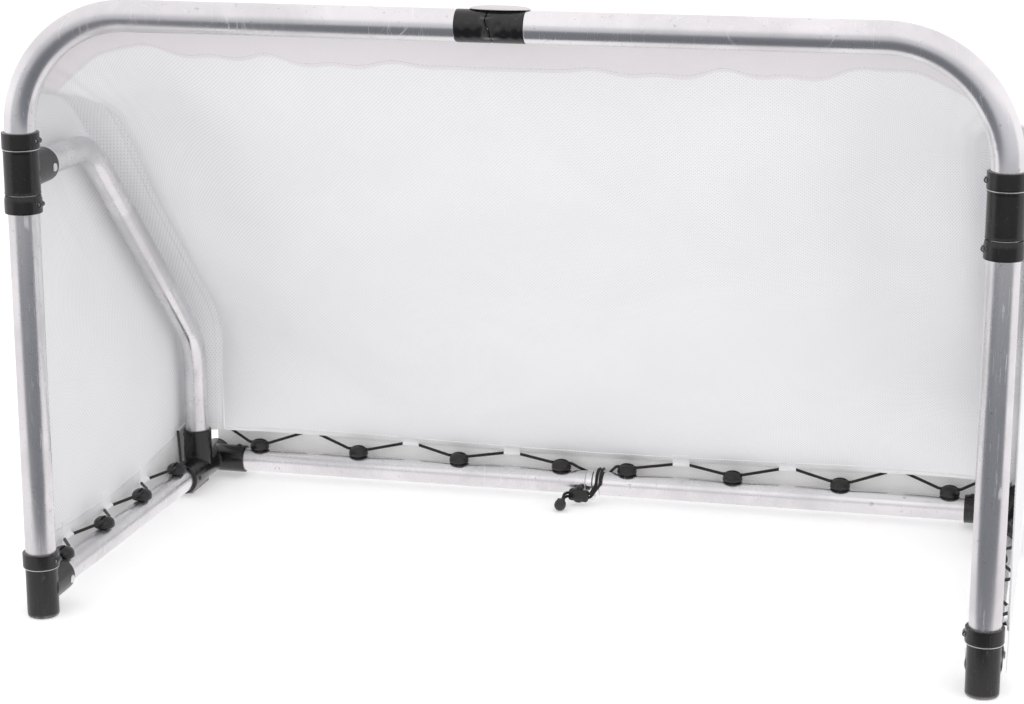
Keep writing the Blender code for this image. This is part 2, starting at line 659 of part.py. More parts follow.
def make_rear_hinge(word, side):
    """Half of the rear bar's middle joint: a plug, a rim that covers the tube's end, and a knuckle."""
    group = "rear_" + word
    name = "rear_hinge_" + word
    plug_r = SIDE_TUBE_R - TUBE_WALL - FIT_GAP
    face = REAR_RIM_LENGTH - RUN_GAP
    profile = [(0, face), (REAR_RIM_R - CAP_CHAMFER, face), (REAR_RIM_R, face - CAP_CHAMFER), (REAR_RIM_R, 0),
               (plug_r, 0), (plug_r, -HINGE_PLUG_LENGTH), (0, -HINGE_PLUG_LENGTH)]
    hinge = add_part(name, profile_mesh(name, profile, False), "aluminium")
    add_turning(hinge)
    put(hinge, group, (side * REAR_RIM_LENGTH, REAR_BAR_Y, REAR_Z), X_AXIS * -side)
    pin_at = Vector((0, REAR_BAR_Y, REAR_Z - PIN_OFFSET))
    half = REAR_KNUCKLE_LENGTH / 2
    if side < 0:
        own, other = (-half, -RUN_GAP / 2), (-RUN_GAP / 2, 2 * half)
    else:
        own, other = (RUN_GAP / 2, half), (-2 * half, RUN_GAP / 2)
    knuckle = turned_tool(name + "_knuckle", rod_profile(REAR_KNUCKLE_R, *own), group, pin_at, Y_AXIS, 12)
    combine(hinge, knuckle, "UNION")
    room = turned_tool(name + "_room", rod_profile(REAR_KNUCKLE_R + RUN_GAP, *other), group, pin_at,
                       Y_AXIS, 12)
    combine(hinge, room, "DIFFERENCE")
    bore = turned_tool(name + "_bore", rod_profile(REAR_PIN_R + FIT_GAP, -2 * half, 2 * half), group, pin_at,
                       Y_AXIS, 12)
    combine(hinge, bore, "DIFFERENCE")
    return hinge


def make_rear_pin():
    """The pin of the rear bar's middle joint."""
    half = REAR_KNUCKLE_LENGTH / 2
    name = "rear_pin"
    profile = rod_profile(REAR_PIN_R, -half, half, REAR_PIN_R / 4)
    pin = add_part(name, profile_mesh(name, profile, False), "steel")
    add_turning(pin, 12)
    return put(pin, "rear_left", (0, REAR_BAR_Y, REAR_Z - PIN_OFFSET), Y_AXIS)


def make_hook(name, group, at, saddle, outward, slot_size):
    """A domed lacing hook that stands on a tube's top, cut to the tube and slotted for the cord.

    outward points from the hook towards the net, and slot_size is the slot's box.
    """
    rise = HOOK_HEIGHT - HOOK_SHOULDER
    turns = [math.radians(turn) for turn in HOOK_DOME_TURNS]
    dome = [(HOOK_R * math.sin(turn), HOOK_SHOULDER + rise * math.cos(turn)) for turn in turns]
    stem = [(HOOK_R, HOOK_BASE), (HOOK_STEM_R, HOOK_BASE), (HOOK_STEM_R, -HOOK_SUNK), (0, -HOOK_SUNK)]
    hook = add_part(name, profile_mesh(name, dome + stem, False), "black_plastic")
    add_turning(hook, HOOK_SIDES)
    put(hook, group, at)
    combine(hook, saddle, "DIFFERENCE")
    slot_at = Vector(at) - outward * HOOK_SLOT_SHIFT + Z_AXIS * (HOOK_SLOT_FLOOR + slot_size[2] / 2)
    slot = box_tool(name + "_slot", slot_size, group, slot_at)
    combine(hook, slot, "DIFFERENCE")
    return hook


def lower_tube_top(side, y):
    """Point on the lower side tube's top line at a distance behind the uprights."""
    start, end = lower_tube_line(side)
    share = (y - start.y) / (end.y - start.y)
    return start.lerp(end, share) + Z_AXIS * SIDE_TUBE_R


def slot_box(along_x):
    """Size of the box that cuts a hook's slot, for a tube along X or along Y."""
    length = 4 * HOOK_R
    width = 2 * (CORD_R + FIT_GAP)
    return (length, width, HOOK_HEIGHT) if along_x else (width, length, HOOK_HEIGHT)


def make_side_hooks(word, side):
    """The hooks on a lower side tube."""
    group = word + "_side"
    start, end = lower_tube_line(side)
    saddle = turned_tool(word + "_side_saddle", rod_profile(SIDE_TUBE_R + FIT_GAP, 0, (end - start).length),
                         group, start, end - start, 2 * TUBE_SIDES)
    for i, y in enumerate(SIDE_HOOK_Y):
        make_hook(f"{word}_side_hook_{i + 1}", group, lower_tube_top(side, y), saddle, X_AXIS * side,
                  slot_box(False))


def make_rear_hooks(word, side):
    """The hooks on a rear half bar."""
    group = "rear_" + word
    top = REAR_Z + SIDE_TUBE_R
    saddle = turned_tool("rear_" + word + "_saddle", rod_profile(SIDE_TUBE_R + FIT_GAP, 0, HALF_SPAN), group,
                         (0, REAR_BAR_Y, REAR_Z), X_AXIS * side, 2 * TUBE_SIDES)
    for i, x in enumerate(REAR_HOOK_X):
        make_hook(f"rear_{word}_hook_{i + 1}", group, (side * x, REAR_BAR_Y, top), saddle, Y_AXIS,
                  slot_box(True))


def through_slot(tube_top, along, outward):
    """Points of the lacing cord on both sides of a hook, level with the slot that it lies in."""
    middle = tube_top + Z_AXIS * CORD_OVER_TUBE - outward * HOOK_SLOT_SHIFT
    clear = along * (HOOK_R + CORD_R / 2)
    return [middle - clear, middle + clear]


def rear_tab_point(x):
    """Point of the lacing cord in a hem loop above the rear bar."""
    rise = REAR_TAB_RISE + REAR_TAB_END_RISE * (x / HALF_SPAN) ** 2
    return Vector((x, REAR_BAR_Y + HEM_BEHIND_BAR - TAB_OFF_HEM, REAR_Z + SIDE_TUBE_R + rise))


def side_tab_point(side, y):
    """Point of the lacing cord in a hem loop beside the lower side tube."""
    return lower_tube_top(side, y) + Vector((side * (NET_OUTSIDE - TAB_OFF_HEM), 0, SIDE_TAB_RISE))


def make_side_lacing(word, side):
    """The cord that laces the side net's hem to the hooks on the lower side tube."""
    outward = X_AXIS * side
    x = side * (HALF_SPAN + NET_OUTSIDE - TAB_OFF_HEM)
    points = [Vector((x, SIDE_HOOK_FIRST - HOOK_R - TAB_HALF, SIDE_HEM_FRONT_Z + HEM_OVER_TAB))]
    for i, y in enumerate(SIDE_HOOK_Y):
        points += through_slot(lower_tube_top(side, y), Y_AXIS, outward)
        if i + 1 < HOOK_COUNT:
            middle = y + SIDE_HOOK_PITCH / 2
            points += [side_tab_point(side, middle - TAB_HALF), side_tab_point(side, middle + TAB_HALF)]
    points.append(Vector((x, LEG_Y - LEG_SOCKET_R, LEG_SOCKET_TOP)))
    make_cord(word + "_side_lacing", word + "_side", points)


def rear_lace_points(side):
    """Points of the lacing cord along a rear half bar, from the goal's corner to its middle."""
    inward = X_AXIS * -side
    points = [rear_tab_point(side * (HALF_SPAN - TAB_HALF))]
    for i in reversed(range(HOOK_COUNT)):
        x = REAR_HOOK_X[i]
        points += through_slot(Vector((side * x, REAR_BAR_Y, REAR_Z + SIDE_TUBE_R)), inward, Y_AXIS)
        if i > 0:
            middle = x - REAR_HOOK_PITCH / 2
            points += [rear_tab_point(side * (middle + TAB_HALF)), rear_tab_point(side * (middle - TAB_HALF))]
    return points


def over_bar(x, degrees):
    """Point of a cord end laid round the rear bar's middle, at an angle back from the bar's top."""
    turn = math.radians(degrees)
    reach = (REAR_RIM_R + CORD_R + FIT_GAP) / math.cos(math.radians(STRAND_STEP / 2))
    return Vector((x, REAR_BAR_Y + reach * math.sin(turn), REAR_Z + reach * math.cos(turn)))


def strand_over_bar(x):
    """Points of a cord end from behind the rear bar over its top and down its front."""
    return [over_bar(x, STRAND_BACK - STRAND_STEP * step) for step in range(5)]


def lock_strand(offset):
    """Points of one cord end from the bar's side of the cord lock to the inside of the clip."""
    lock = Vector(LOCK_AT) + Z_AXIS * offset
    clip = lock + Vector(CLIP_SHIFT)
    left_end = lock - X_AXIS * LOCK_SIZE[0] / 2
    return [lock + X_AXIS * (LOCK_SIZE[0] / 2 + CORD_R), left_end - X_AXIS * CORD_R,
            left_end + Vector(STRAND_BEND), clip + Y_AXIS * (CLIP_SIZE[1] / 2 + CORD_R),
            clip - Y_AXIS * CORD_R]


def make_rear_lacing():
    """The cords that lace the back net's hem to the rear bar, and their ends through the lock.

    Between the middle hooks the cords pass behind the bar, and both ends come over it to the lock.
    """
    first = strand_over_bar(STRAND_OVER_X)
    second = strand_over_bar(STRAND_OVER_X + STRAND_PITCH)
    hidden = [over_bar(-REAR_HOOK_FIRST / 2, STRAND_STEP), over_bar(-REAR_HOOK_FIRST / 4, STRAND_BACK)]
    turn = Vector(LOCK_AT) + Vector(CLIP_SHIFT) - Y_AXIS * 1.6 * CORD_R
    points = rear_lace_points(SIDES["left"]) + hidden + first + lock_strand(STRAND_GAP / 2)
    points += [turn] + lock_strand(-STRAND_GAP / 2)[::-1] + second[::-1][:-1]
    make_cord("rear_left_lacing", "rear_left", points)
    right_end = STRAND_OVER_X + 2 * STRAND_PITCH
    ends = [over_bar(right_end + STRAND_PITCH, STRAND_STEP), over_bar(right_end, STRAND_BACK)]
    make_cord("rear_right_lacing", "rear_right", rear_lace_points(SIDES["right"]) + ends)


def make_rounded_box(name, group, at, size, finish, rounding):
    """A box with rounded edges."""
    mesh = bpy.data.meshes.new(name)
    body = bmesh.new()
    bmesh.ops.create_cube(body, size=1.0, matrix=Matrix.Diagonal((*size, 1.0)))
    body.to_mesh(mesh)
    body.free()
    part = add_part(name, mesh, finish)
    bevel = part.modifiers.new("rounding", "BEVEL")
    bevel.width = rounding
    bevel.segments = 2
    return put(part, group, at)


def make_cord_lock():
    """The sprung cord lock, its push button and the clip on the cord's ends."""
    group = "rear_left"
    lock = make_rounded_box("cord_lock", group, LOCK_AT, LOCK_SIZE, "black_plastic", LOCK_ROUNDING)
    for i, offset in enumerate((STRAND_GAP / 2, -STRAND_GAP / 2)):
        at = Vector(LOCK_AT) + Z_AXIS * offset
        profile = rod_profile(LOCK_BORE_R, -LOCK_SIZE[0], LOCK_SIZE[0])
        bore = turned_tool(f"cord_lock_bore_{i}", profile, group, at, X_AXIS, 10)
        combine(lock, bore, "DIFFERENCE")
    lock_top = Vector(LOCK_AT) + Z_AXIS * LOCK_SIZE[2] / 2
    seat = turned_tool("cord_lock_seat", rod_profile(BUTTON_R + FIT_GAP, -BUTTON_SEAT, BUTTON_SEAT), group,
                       lock_top, None, 14)
    combine(lock, seat, "DIFFERENCE")
    profile = rod_profile(BUTTON_R, -BUTTON_SUNK, BUTTON_PROUD, BUTTON_R / 6)
    button = add_part("cord_lock_button", profile_mesh("cord_lock_button", profile, False), "black_plastic")
    add_turning(button, 14)
    put(button, group, lock_top)
    clip_at = Vector(LOCK_AT) + Vector(CLIP_SHIFT)
    clip = make_rounded_box("cord_clip", group, clip_at, CLIP_SIZE, "black_plastic", CLIP_ROUNDING)
    hollow_size = (2 * CORD_R + 4 * FIT_GAP, CLIP_SIZE[1], STRAND_GAP + 2 * CORD_R + 4 * FIT_GAP)
    hollow = box_tool("cord_clip_hollow", hollow_size, group, clip_at + Y_AXIS * 2 * CLIP_WALL)
    combine(clip, hollow, "DIFFERENCE")


def blend_points(table, share):
    """Point at a share of the way along a short list of points, by smooth steps."""
    position = min(max(share, 0.0), 1.0) * (len(table) - 1)
    i = min(int(position), len(table) - 2)
    t = position - i
    p0 = table[max(i - 1, 0)]
    p1 = table[i]
    p2 = table[i + 1]
    p3 = table[min(i + 2, len(table) - 1)]
    return 0.5 * (2 * p1 + (p2 - p0) * t + (2 * p0 - 5 * p1 + 4 * p2 - p3) * t * t
                  + (3 * p1 - p0 - 3 * p2 + p3) * t ** 3)


def hem_point(share):
    """Point of the back net's left hem, from the goal's middle to the side seam."""
    x = -(HALF_SPAN - SEAM_INSET) * share
    return Vector((x, REAR_BAR_Y + HEM_BEHIND_BAR, rear_tab_point(x).z + HEM_OVER_TAB))


def seam_point(share):
    """Point of the left seam between the back net and the side net, from its top down."""
    slant = Vector((0, LEG_Y - SIDE_BEND_Y, LEG_BEND_Z - SIDE_TUBE_Z)).normalized()
    out = Vector((0, -slant.z, slant.y)) * SEAM_OFF_SLANT
    x = -(HALF_SPAN - SEAM_INSET)
    bend = Vector((x, SIDE_BEND_Y, SIDE_TUBE_Z))
    knee = Vector((x, LEG_Y, LEG_BEND_Z))
    table = [Vector((-HALF_SPAN - SEAM_TOP_OUT, SEAM_TOP_Y, COLLAR_Z + SEAM_TOP_RISE)),
             Vector((-HALF_SPAN + SEAM_SHOULDER_IN, SEAM_SHOULDER_Y, COLLAR_Z + SEAM_SHOULDER_RISE)),
             bend + Vector((0, SEAM_BEHIND_BEND, SEAM_OVER_BEND)),
             *[bend.lerp(knee, part) + out for part in SEAM_SLANT_SHARES],
             knee + Vector((0, SEAM_BEHIND_KNEE, SEAM_OVER_KNEE)),
             Vector((x, LEG_Y + SEAM_BEHIND_LEG, SEAM_LOW_Z)),
             Vector((x, LEG_Y + SEAM_BEHIND_LEG, hem_point(1.0).z))]
    return blend_points(table, share)


def top_edge_point(across):
    """Point of the net's left top edge: along the crossbar from the middle and round its bend."""
    straight = HALF_SPAN - CROSSBAR_BEND_R
    turn = math.radians(TOP_EDGE_TURN)
    run = across * (straight + CROSSBAR_BEND_R * turn)
    level = CROSSBAR_Z + NET_OVER_BAR
    if run <= straight:
        return Vector((-run, NET_BEHIND_BAR, level))
    angle = (run - straight) / CROSSBAR_BEND_R
    arc = Vector((-straight - CROSSBAR_BEND_R * math.sin(angle), NET_BEHIND_BAR,
                  level - CROSSBAR_BEND_R * (1 - math.cos(angle))))
    return arc + (seam_point(0.0) - arc) * (angle / turn) ** EDGE_SHARPNESS


def back_net_point(across, down):
    """Point of the left half of the back net: across from the middle, down from the crossbar."""

    def flat(share):
        place = top_edge_point(share).lerp(hem_point(share), down)
        return place - Vector((0, SAG_LEAN, 1.0)) * NET_SAG * math.sin(math.pi * down)

    point = flat(across) + (seam_point(down) - flat(1.0)) * across ** 4
    fade = math.sin(math.pi * down) * math.sin(math.pi * across)
    ripple = sum(height * math.sin(over * across + along * down) for over, along, height in BACK_WAVES)
    return point + Vector((0, 0.7, 0.7)) * FOLD_DEPTH * ripple * fade


def side_front_point(share):
    """Point of the left side net's front edge, down behind the upright."""
    top = Vector((-HALF_SPAN - NET_OUTSIDE, SIDE_NET_FRONT_Y, COLLAR_Z + SIDE_NET_TOP))
    return top.lerp(Vector((top.x, top.y, SIDE_HEM_FRONT_Z)), share)


def side_net_point(share, down):
    """Point of the left side net: back from the front edge to the seam, down from its top.

    The last column is the flange that turns in round the rear of the side frame to the seam.
    """
    seam = seam_point(down)
    fold = 1 - 1 / NET_COLUMNS
    run = min(share / fold, 1.0)
    point = side_front_point(down).lerp(seam, NET_FLAT_SHARE * run)
    wave = math.sin(SIDE_WAVES[0] * run + SIDE_WAVES[1] * down)
    bulge = math.sin(math.pi * run) * math.sin(math.pi * down) * (1 + wave) / 2
    flat_x = -HALF_SPAN - NET_OUTSIDE - FOLD_DEPTH * bulge
    point.x += (flat_x - point.x) * min(down / TOP_TURN_IN + 1.0 - run, 1.0)
    point.z -= SIDE_HEM_SAG * math.sin(math.pi * run) * down ** EDGE_SHARPNESS
    if share > fold:
        point = point.lerp(seam, NET_SEAM_SHARE * (share - fold) / (1 - fold))
    return point


def make_net(name, group, side, formula, columns, rows, first, last):
    """One piece of the net as a thin solid, from a formula for the left side's surface."""
    mesh = bpy.data.meshes.new(name)
    sheet = bmesh.new()
    bmesh.ops.create_grid(sheet, x_segments=columns, y_segments=rows, size=0.5)
    for vert in sheet.verts:
        across = vert.co.x + 0.5
        down = first + (last - first) * (vert.co.y + 0.5)
        point = formula(across, down)
        vert.co = Vector((point.x * -side, point.y, point.z))
    sheet.to_mesh(mesh)
    sheet.free()
    net = add_part(name, mesh, "net_white")
    thick = net.modifiers.new("thickness", "SOLIDIFY")
    thick.thickness = NET_THICKNESS
    thick.offset = 0.0
    mesh.transform(Matrix.Translation(-JOINT_AT[group]))
    return put(net, group, JOINT_AT[group])


def make_nets(word, side):
    """The three pieces of one half of the net bag."""

    def back(across, down):
        return back_net_point(NET_MIDDLE_GAP + (NET_SEAM_SHARE - NET_MIDDLE_GAP) * across, down)

    rows = NET_ROWS // 2
    make_net("back_net_upper_" + word, "front_" + word, side, back, NET_COLUMNS, rows, 0.0,
             NET_SPLIT - NET_MIDDLE_GAP)
    make_net("back_net_lower_" + word, "rear_" + word, side, back, NET_COLUMNS, rows,
             NET_SPLIT + NET_MIDDLE_GAP, 1.0)
    make_net("side_net_" + word, word + "_side", side, side_net_point, NET_COLUMNS, NET_ROWS,
             0.0, 1.0)


def build_goal():
    """Builds every part of the goal."""
    for word, side in SIDES.items():
        front = "front_" + word
        collar_low = COLLAR_Z - COLLAR_LENGTH / 2
        collar_high = COLLAR_Z + COLLAR_LENGTH / 2
        make_front_tube(word, side)
        make_stop_ring(word + "_upper_ring", front, side, collar_high + RING_GAP, UPPER_RING_HEIGHT)
        make_stop_ring(word + "_lower_ring", front, side, collar_low - RING_GAP - LOWER_RING_HEIGHT,
                       LOWER_RING_HEIGHT)
        make_stop_ring(word + "_foot_ring", front, side, FOOT_HEIGHT + RING_GAP, FOOT_RING_HEIGHT)
        make_crossbar_hinge(word, side)
        make_collar(word + "_collar", side)
        make_foot(word + "_foot", side)
        make_corner(word + "_corner", side)
        make_spigot_cap(word + "_spigot_cap", side)
        make_side_tubes(word, side)
        make_side_hooks(word, side)
        make_side_lacing(word, side)
        make_rear_collar(word, side)
        make_rear_tube(word, side)
        make_rear_hinge(word, side)
        make_rear_hooks(word, side)
        make_nets(word, side)
    make_crossbar_pin()
    make_crossbar_pad()
    make_rear_pin()
    make_rear_lacing()
    make_cord_lock()


build_goal()
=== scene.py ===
import logging
import math
from contextlib import contextmanager
from dataclasses import dataclass
from enum import Enum
from typing import Callable, Iterable, Iterator, Sequence

import bmesh
import bpy
import numpy as np
from mathutils import Matrix, Quaternion, Vector


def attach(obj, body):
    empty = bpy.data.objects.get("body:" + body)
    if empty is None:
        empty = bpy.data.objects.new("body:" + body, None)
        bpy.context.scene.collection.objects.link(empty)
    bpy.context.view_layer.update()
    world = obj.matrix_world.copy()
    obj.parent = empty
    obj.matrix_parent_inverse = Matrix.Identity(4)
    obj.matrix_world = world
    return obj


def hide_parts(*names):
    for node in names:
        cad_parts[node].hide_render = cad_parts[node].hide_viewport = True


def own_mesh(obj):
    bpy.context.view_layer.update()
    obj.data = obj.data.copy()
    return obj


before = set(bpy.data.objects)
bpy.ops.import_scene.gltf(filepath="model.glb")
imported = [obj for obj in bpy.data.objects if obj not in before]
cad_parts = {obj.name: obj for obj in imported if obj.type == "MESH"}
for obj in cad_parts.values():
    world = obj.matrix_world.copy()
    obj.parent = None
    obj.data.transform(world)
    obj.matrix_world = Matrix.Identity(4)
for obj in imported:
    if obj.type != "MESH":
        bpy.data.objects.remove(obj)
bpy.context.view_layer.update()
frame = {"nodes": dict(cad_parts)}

log = logging.getLogger("folding_goal")

Point = tuple[float, float, float]
Profile = Sequence[tuple[float, float]]
Node = bpy.types.Node
Socket = bpy.types.NodeSocket
Tree = bpy.types.NodeTree
Mesh = bpy.types.Mesh
Object = bpy.types.Object

ORIGIN_Y = -0.3128
"""The goal's own y counts from the uprights, and this moves it to the middle of the depth."""

X_AXIS = Vector((1.0, 0.0, 0.0))
Y_AXIS = Vector((0.0, 1.0, 0.0))
Z_AXIS = Vector((0.0, 0.0, 1.0))
WHITE = (1.0, 1.0, 1.0, 1.0)


class Side(Enum):
    """The goal's two sides, as seen from its open front."""

    LEFT = -1
    RIGHT = 1

    @property
    def word(self) -> str:
        """The side's name in node and body names."""
        return self.name.lower()


class Grain(Enum):
    """Which coordinates a finish's fine pattern follows."""

    SURFACE = "UV"
    SPACE = "Object"


def spot(x: float, y: float, z: float) -> Vector:
    """A place given in the goal's own coordinates, in the row frame."""
    return Vector((x, y + ORIGIN_Y, z))


# Shader groups that more than one finish uses


class Wiring:
    """Adds nodes to one node tree and links them as it goes."""

    def __init__(self, tree: Tree) -> None:
        """Wraps a node tree.

        Args:
            tree: the shader or geometry tree that gets the nodes.
        """
        self.tree = tree
        self.column = 0

    def add(self, kind: str, settings: dict[str, object] | None = None,
            feeds: dict[object, object] | None = None) -> Node:
        """Adds one node.

        Args:
            kind: the node's type name.
            settings: attributes to set on the node.
            feeds: input name or index to a value, or to an output socket that is linked to it.

        Returns:
            The new node.
        """
        node = self.tree.nodes.new(kind)
        node.location = (self.column * 170.0, -(self.column % 5) * 140.0)
        self.column += 1
        for name, value in (settings or {}).items():
            setattr(node, name, value)
        for name, value in (feeds or {}).items():
            socket = node.inputs[name]
            if isinstance(value, Socket):
                self.tree.links.new(value, socket)
            else:
                socket.default_value = value
        return node

    def into(self, value: Socket, node: Node, name: str) -> None:
        """Links a value to a node's named input."""
        self.tree.links.new(value, node.inputs[name])

    def noise(self, dimensions: str, **feeds: object) -> Socket:
        """Adds a Noise texture and returns its value."""
        return self.add("ShaderNodeTexNoise", {"noise_dimensions": dimensions}, feeds).outputs[0]

    def math(self, operation: str, *values: object, clamp: bool = False) -> Socket:
        """Adds a Math node and returns its output.

        Args:
            operation: what the node does.
            *values: numbers or sockets for its inputs.
            clamp: whether the result stays from 0 to 1.

        Returns:
            The output.
        """
        node = self.add("ShaderNodeMath", {"operation": operation, "use_clamp": clamp},
            dict(enumerate(values)))
        return node.outputs[0]

    def times(self, *values: object, clamp: bool = False) -> Socket:
        """Multiplies two values."""
        return self.math("MULTIPLY", *values, clamp=clamp)

    def plus(self, *values: object, clamp: bool = False) -> Socket:
        """Adds two values."""
        return self.math("ADD", *values, clamp=clamp)

    def minus(self, *values: object) -> Socket:
        """Takes the second value from the first."""
        return self.math("SUBTRACT", *values)

    def mixed(self, factor: Socket, one: Node, two: Node) -> Node:
        """Adds a Mix Shader node between the shaders of two nodes."""
        return self.add("ShaderNodeMixShader", None, {0: factor, 1: one.outputs[0], 2: two.outputs[0]})

    def vector(self, operation: str, *values: object) -> Node:
        """Adds a Vector Math node."""
        return self.add("ShaderNodeVectorMath", {"operation": operation}, dict(enumerate(values)))

    def ramp(self, value: Socket, low: float | Socket, high: float | Socket,
            to_low: float = 0.0, to_high: float = 1.0) -> Socket:
        """Maps a value smoothly from one range to another and returns the result.

        Args:
            value: what is mapped.
            low: start of its range.
            high: end of its range.
            to_low: result at the start.
            to_high: result at the end.

        Returns:
            The result.
        """
        node = self.add("ShaderNodeMapRange", {"interpolation_type": "SMOOTHSTEP"},
            {"Value": value, "From Min": low, "From Max": high, "To Min": to_low, "To Max": to_high})
        return node.outputs["Result"]

    def blend_color(self, factor: object, one: object, two: object, mode: str = "MIX") -> Socket:
        """Mixes two colours and returns the result.

        Args:
            factor: share of the second colour.
            one: first colour.
            two: second colour.
            mode: way of mixing.

        Returns:
            The mixed colour.
        """
        node = self.add("ShaderNodeMix", {"data_type": "RGBA", "blend_type": mode})
        for index, value in ((0, factor), (6, one), (7, two)):
            if isinstance(value, Socket):
                self.tree.links.new(value, node.inputs[index])
            else:
                node.inputs[index].default_value = value
        return node.outputs[2]


def preset(node: Node, values: dict[str, object]) -> None:
    """Sets a node's own values by input name."""
    for name, value in values.items():
        node.inputs[name].default_value = value


def shader_group(name: str, inputs: dict[str, tuple[str, float]], outputs: Iterable[str],
        fill: Callable[[Wiring, Node, Node], None]) -> Tree:
    """Builds a shader node group once.

    Args:
        name: the group's name.
        inputs: input name to its socket kind, FLOAT or VECTOR, and its default value.
        outputs: names of the group's number outputs.
        fill: adds the group's nodes between its input and its output node.

    Returns:
        The node group.
    """
    if name in bpy.data.node_groups:
        return bpy.data.node_groups[name]
    group = bpy.data.node_groups.new(name, "ShaderNodeTree")
    for label, (kind, value) in inputs.items():
        socket = group.interface.new_socket(label, in_out="INPUT", socket_type=f"NodeSocket{kind}")
        if kind == "Float":
            socket.default_value = value
    for label in outputs:
        group.interface.new_socket(label, in_out="OUTPUT", socket_type="NodeSocketFloat")
    wiring = Wiring(group)
    entry = wiring.add("NodeGroupInput")
    leave = wiring.add("NodeGroupOutput")
    fill(wiring, entry, leave)
    return group


def scratches_group() -> Tree:
    """Fine straight scratches in several directions: a mask that is 1 in a scratch.

    Returns:
        The node group.
    """

    def fill(w: Wiring, entry: Node, leave: Node) -> None:
        """Wires the group.

        Args:
            w: wiring of the group.
            entry: node with the group's inputs.
            leave: node for its results.
        """
        at = entry.outputs["Vector"]
        total = None
        for turn, stretch, seed in ((0.35, 26.0, 1.0), (1.25, 34.0, 7.3), (-0.55, 30.0, 13.9),
                (1.62, 60.0, 21.1)):
            turned = w.add("ShaderNodeVectorRotate", {"rotation_type": "Z_AXIS"},
                {"Vector": at, "Angle": turn})
            shifted = w.vector("ADD", turned.outputs[0], (seed, seed * 1.7, seed * 0.6))
            scaled = w.vector("MULTIPLY", shifted.outputs[0], (1.0, stretch, 1.0))
            noise = w.noise("3D", Vector=scaled.outputs[0], Scale=entry.outputs["Scale"], Detail=3.0,
                Roughness=0.65)
            line = w.ramp(noise, 0.645, 0.715)
            total = line if total is None else w.math("MAXIMUM", total, line)
        patches = w.noise("3D", Vector=at, Scale=9.0, Detail=2.0)
        where = w.ramp(patches, 0.36, 0.58)
        cut = w.times(total, where)
        w.into(w.times(cut, entry.outputs["Amount"], clamp=True), leave, "Mask")

    return shader_group("fine_scratches", {"Vector": ("Vector", 0.0), "Scale": ("Float", 20.0),
            "Amount": ("Float", 1.0)}, ["Mask"], fill)


def smudges_group() -> Tree:
    """Cloudy handling marks and speckled dirt: two slowly varying masks.

    Returns:
        The node group.
    """

    def fill(w: Wiring, entry: Node, leave: Node) -> None:
        """Wires the group.

        Args:
            w: wiring of the group.
            entry: node with the group's inputs.
            leave: node for its results.
        """
        at = entry.outputs["Vector"]
        cloud = w.noise("3D", Vector=at, Scale=entry.outputs["Scale"], Detail=5.0,
            Roughness=0.58, Distortion=0.5)
        w.into(w.ramp(cloud, 0.3, 0.72), leave, "Cloud")
        fine = w.times(entry.outputs["Scale"], 16.0)
        speck = w.noise("3D", Vector=at, Scale=fine, Detail=3.0, Roughness=0.7)
        w.into(w.ramp(speck, 0.62, 0.74), leave, "Specks")

    return shader_group("handling_marks", {"Vector": ("Vector", 0.0), "Scale": ("Float", 6.0)},
            ["Cloud", "Specks"], fill)


def drawn_lines_group() -> Tree:
    """Lines that run along a drawn tube, from its own map: u along it and v round it, in metres.

    Returns:
        The node group.
    """

    def fill(w: Wiring, entry: Node, leave: Node) -> None:
        """Wires the group.

        Args:
            w: wiring of the group.
            entry: node with the group's inputs.
            leave: node for its results.
        """
        at = entry.outputs["Vector"]
        long = w.vector("MULTIPLY", at, (1.4, 950.0, 1.0))
        lines = w.noise("2D", Vector=long.outputs[0], Scale=1.0, Detail=4.0, Roughness=0.6)
        wide = w.vector("MULTIPLY", at, (0.9, 160.0, 1.0))
        bands = w.noise("2D", Vector=wide.outputs[0], Scale=1.0, Detail=2.0, Roughness=0.5)
        both = w.plus(w.times(lines, 0.6), w.times(bands, 0.4))
        w.into(both, leave, "Height")

    return shader_group("drawn_lines", {"Vector": ("Vector", 0.0)}, ["Height"], fill)


def knit_group() -> Tree:
    """Knitted mesh cloth with holes on a diamond grid, from a map in metres.

    Returns:
        The node group.
    """

    def fill(w: Wiring, entry: Node, leave: Node) -> None:
        """Wires the group.

        Args:
            w: wiring of the group.
            entry: node with the group's inputs.
            leave: node for its results.
        """
        at = entry.outputs["Vector"]
        wobble = w.noise("2D", Vector=at, Scale=12.0, Detail=1.0)
        shift = w.times(w.minus(wobble, 0.5), 0.004)
        parts = w.add("ShaderNodeSeparateXYZ", None, {"Vector": at})
        across = w.math("DIVIDE", w.plus(parts.outputs[0], shift), entry.outputs["Pitch"])
        down = w.math("DIVIDE", parts.outputs[1], w.times(entry.outputs["Pitch"], 1.15))
        one = w.plus(across, down)
        two = w.minus(across, down)
        a = w.minus(w.math("FRACT", one), 0.5)
        b = w.minus(w.math("FRACT", two), 0.5)
        far = w.math("SQRT", w.plus(w.times(a, a), w.times(b, b)))
        edge = entry.outputs["Hole"]
        w.into(w.ramp(far, w.minus(edge, 0.07), w.plus(edge, 0.07), 1.0, 0.0), leave, "Hole")
        strands = w.math("SINE", w.times(one, 25.13))
        cross = w.math("SINE", w.times(two, 25.13))
        twist = w.times(w.plus(strands, cross), 0.12)
        rise = w.plus(w.times(far, 1.2), twist)
        w.into(rise, leave, "Height")

    return shader_group("knitted_mesh", {"Vector": ("Vector", 0.0), "Pitch": ("Float", 0.0045),
            "Hole": ("Float", 0.25)}, ["Hole", "Height"], fill)


